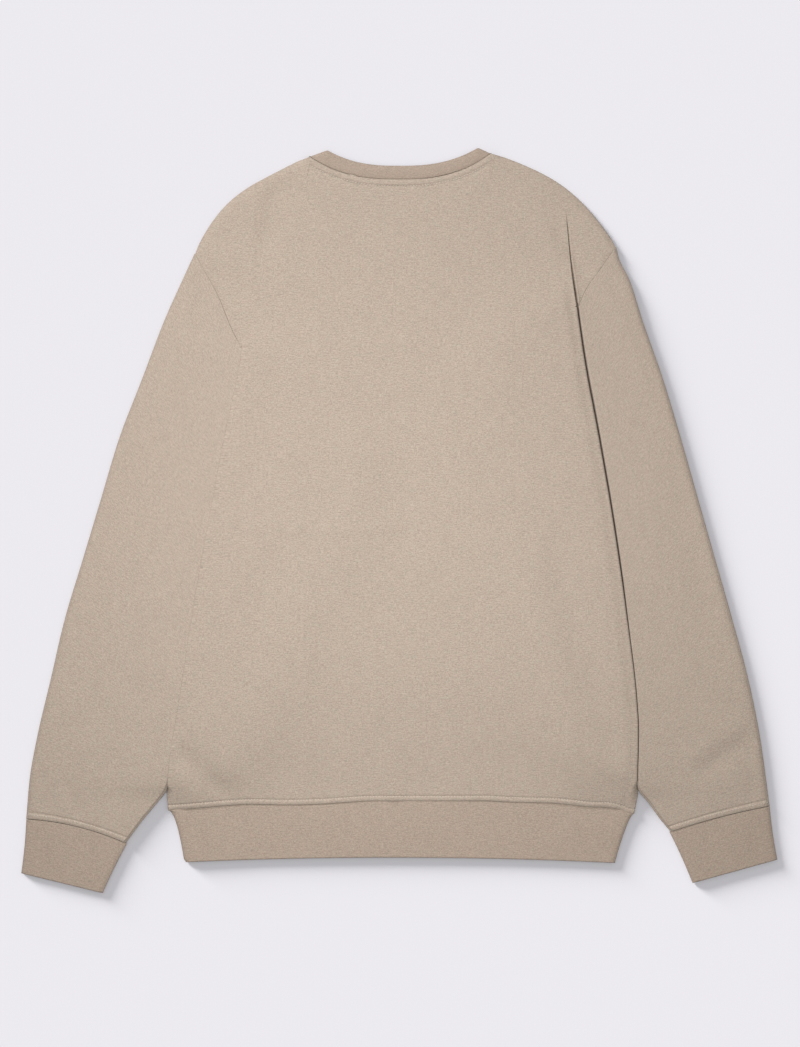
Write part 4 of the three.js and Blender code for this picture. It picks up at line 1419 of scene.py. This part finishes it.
class MakeStitching(bpy.types.Operator):
    """Topstitches the neck, the hem and the sleeve ends"""

    bl_idname = "sweatshirt.stitching"
    bl_label = "Topstitching"

    def execute(self, context):
        sewing = context.scene.sewing
        back = bpy.data.objects["back_jersey"]
        neck_row, hem_row = sewing.neck_row / MM, sewing.hem_row / MM
        seam = back_neck_seam(np.linspace(-0.97, 0.97, 90))
        along = unit(np.gradient(seam, axis=0))
        below = np.stack([along[:, 1], -along[:, 0]], axis=-1)
        stitch_row("neck_stitching", seam + below * neck_row, back)
        hem_x = np.linspace(-227, 230, 200)
        hem = np.stack([hem_x, TOP_OF_COLLAR - hem_seam_down(hem_x) + hem_row], axis=-1)
        stitch_row("hem_stitching", hem, back)
        k = np.linspace(0.015, 0.985, 60)
        for name, sign in SLEEVES:
            (outer_down, outer_out), (inner_down, inner_out) = CUFF_CORNERS[sign]["seam"]
            bow = 4 * k * (1 - k) * SLEEVE_EDGES[sign]["seam_rise"]
            down = blend(outer_down, inner_down, k) - bow
            out = blend(outer_out, inner_out, k)
            line = np.stack([sign * out, TOP_OF_COLLAR - down + hem_row], axis=-1)
            stitch_row(f"{name}_stitching", line, bpy.data.objects[f"{name}_jersey"])
        return {"FINISHED"}


class MakeStage(bpy.types.Operator):
    """Lays a plain floor and sets the soft light and the camera above the garment"""

    bl_idname = "sweatshirt.stage"
    bl_label = "Floor, light and camera"

    FLOOR_SIZE = 40.0
    FLOOR_DROP = 0.0003
    LOW_SUN = (-3.5, 3.05, 1.0)
    LOW_SUN_SPREAD = 17
    FLOOR_SUN_SHARE = 0.108
    FLOOR_SUN_SPREAD = 40
    KEY_PLACE = (-0.7, 1.4, 1.05)
    KEY_AIM = (-0.1, 0.05, 0)
    KEY_SIZE = 0.55
    OVERHEAD_PLACE = (-0.016, -0.058, 0.84)
    OVERHEAD_SIZE = 0.2
    FILL_COLOUR = (0.985, 0.99, 1.0, 1.0)
    FRAME_CENTRE = (0.8, -3.1)
    SUBJECT_HEIGHT = 0.005
    SENSOR = 36.0

    def hang(self, name, light, receivers):
        lamp = bpy.data.objects.new(name, light)
        lamp.light_linking.receiver_collection = receivers
        bpy.context.scene.collection.objects.link(lamp)
        return lamp

    def sun(self, name, towards, energy, spread_degrees, receivers):
        light = bpy.data.lights.new(name, "SUN")
        light.energy = energy
        light.angle = math.radians(spread_degrees)
        lamp = self.hang(name, light, receivers)
        lamp.rotation_euler = Vector(towards).to_track_quat("Z", "Y").to_euler()

    def lamp(self, name, place, aim, size, power, receivers):
        light = bpy.data.lights.new(name, "AREA")
        light.shape = "DISK"
        light.size = size
        light.energy = power
        lamp = self.hang(name, light, receivers)
        lamp.location = place
        lamp.rotation_euler = (Vector(place) - Vector(aim)).to_track_quat("Z", "Y").to_euler()

    def floor(self, scene):
        mesh = bpy.data.meshes.new("floor")
        bm = bmesh.new()
        bmesh.ops.create_grid(bm, x_segments=1, y_segments=1, size=self.FLOOR_SIZE)
        bmesh.ops.translate(bm, verts=bm.verts, vec=(0, 0, -self.FLOOR_DROP))
        bm.to_mesh(mesh)
        bm.free()
        mesh.materials.append(backdrop_material())
        floor = bpy.data.objects.new("floor", mesh)
        scene.collection.objects.link(floor)
        return floor

    def lights(self, scene, floor):
        """The suns light the floor alone and draw its shadow; the lamps light all but the floor."""
        stage = scene.stage
        ground = bpy.data.collections.new("ground")
        ground.objects.link(floor)
        garment = bpy.data.collections.new("garment_light")
        garment.objects.link(floor)
        garment.collection_objects[0].light_linking.link_state = "EXCLUDE"
        self.sun("low_sun", self.LOW_SUN, stage.ground_light, self.LOW_SUN_SPREAD, ground)
        above = self.FLOOR_SUN_SHARE * stage.ground_light
        self.sun("floor_sun", (0, 0, 1), above, self.FLOOR_SUN_SPREAD, ground)
        self.lamp("key_lamp", self.KEY_PLACE, self.KEY_AIM, self.KEY_SIZE, stage.key, garment)
        x, y, _ = self.OVERHEAD_PLACE
        below = (x, y, 0)
        self.lamp("overhead_lamp", self.OVERHEAD_PLACE, below, self.OVERHEAD_SIZE, stage.overhead, garment)
        world = bpy.data.worlds.new("studio")
        world.use_nodes = True
        background = world.node_tree.nodes["Background"]
        background.inputs["Color"].default_value = self.FILL_COLOUR
        background.inputs["Strength"].default_value = stage.fill
        scene.world = world
        scene.view_settings.view_transform = "Standard"

    def camera(self, scene):
        stage = scene.stage
        lens = bpy.data.cameras.new("camera")
        lens.lens = stage.lens
        lens.sensor_width = self.SENSOR
        lens.clip_end = 50.0
        camera = bpy.data.objects.new("camera", lens)
        x, y = (value * MM for value in self.FRAME_CENTRE)
        distance = stage.frame_height * stage.lens / self.SENSOR
        camera.location = (x, y, distance + self.SUBJECT_HEIGHT)
        scene.collection.objects.link(camera)
        scene.camera = camera

    def execute(self, context):
        floor = self.floor(context.scene)
        self.lights(context.scene, floor)
        self.camera(context.scene)
        return {"FINISHED"}


class SweatshirtPanel(bpy.types.Panel):
    bl_idname = "VIEW3D_PT_sweatshirt"
    bl_label = "Sweatshirt"
    bl_space_type = "VIEW_3D"
    bl_region_type = "UI"
    bl_category = "Sweatshirt"

    def draw(self, context):
        layout = self.layout
        for group in (context.scene.cloth_look, context.scene.sewing, context.scene.stage):
            box = layout.box()
            for key in group.__annotations__:
                box.prop(group, key)
        for operator in STEPS:
            layout.operator(operator.bl_idname)


GROUPS = {"cloth_look": ClothLook, "sewing": Sewing, "stage": Stage}
STEPS = (MakeStage, MakeBody, MakeSleeves, MakeRibs, MakeStitching)


def register():
    for cls in (*GROUPS.values(), *STEPS, SweatshirtPanel):
        bpy.utils.register_class(cls)
    for name, group in GROUPS.items():
        setattr(bpy.types.Scene, name, PointerProperty(type=group))


def unregister():
    for name in GROUPS:
        delattr(bpy.types.Scene, name)
    for cls in reversed((*GROUPS.values(), *STEPS, SweatshirtPanel)):
        bpy.utils.unregister_class(cls)


def main():
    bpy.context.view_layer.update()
    register()
    for name in ("stage", "body", "sleeves", "ribs", "stitching"):
        getattr(bpy.ops.sweatshirt, name)()


if __name__ == "__main__":
    main()
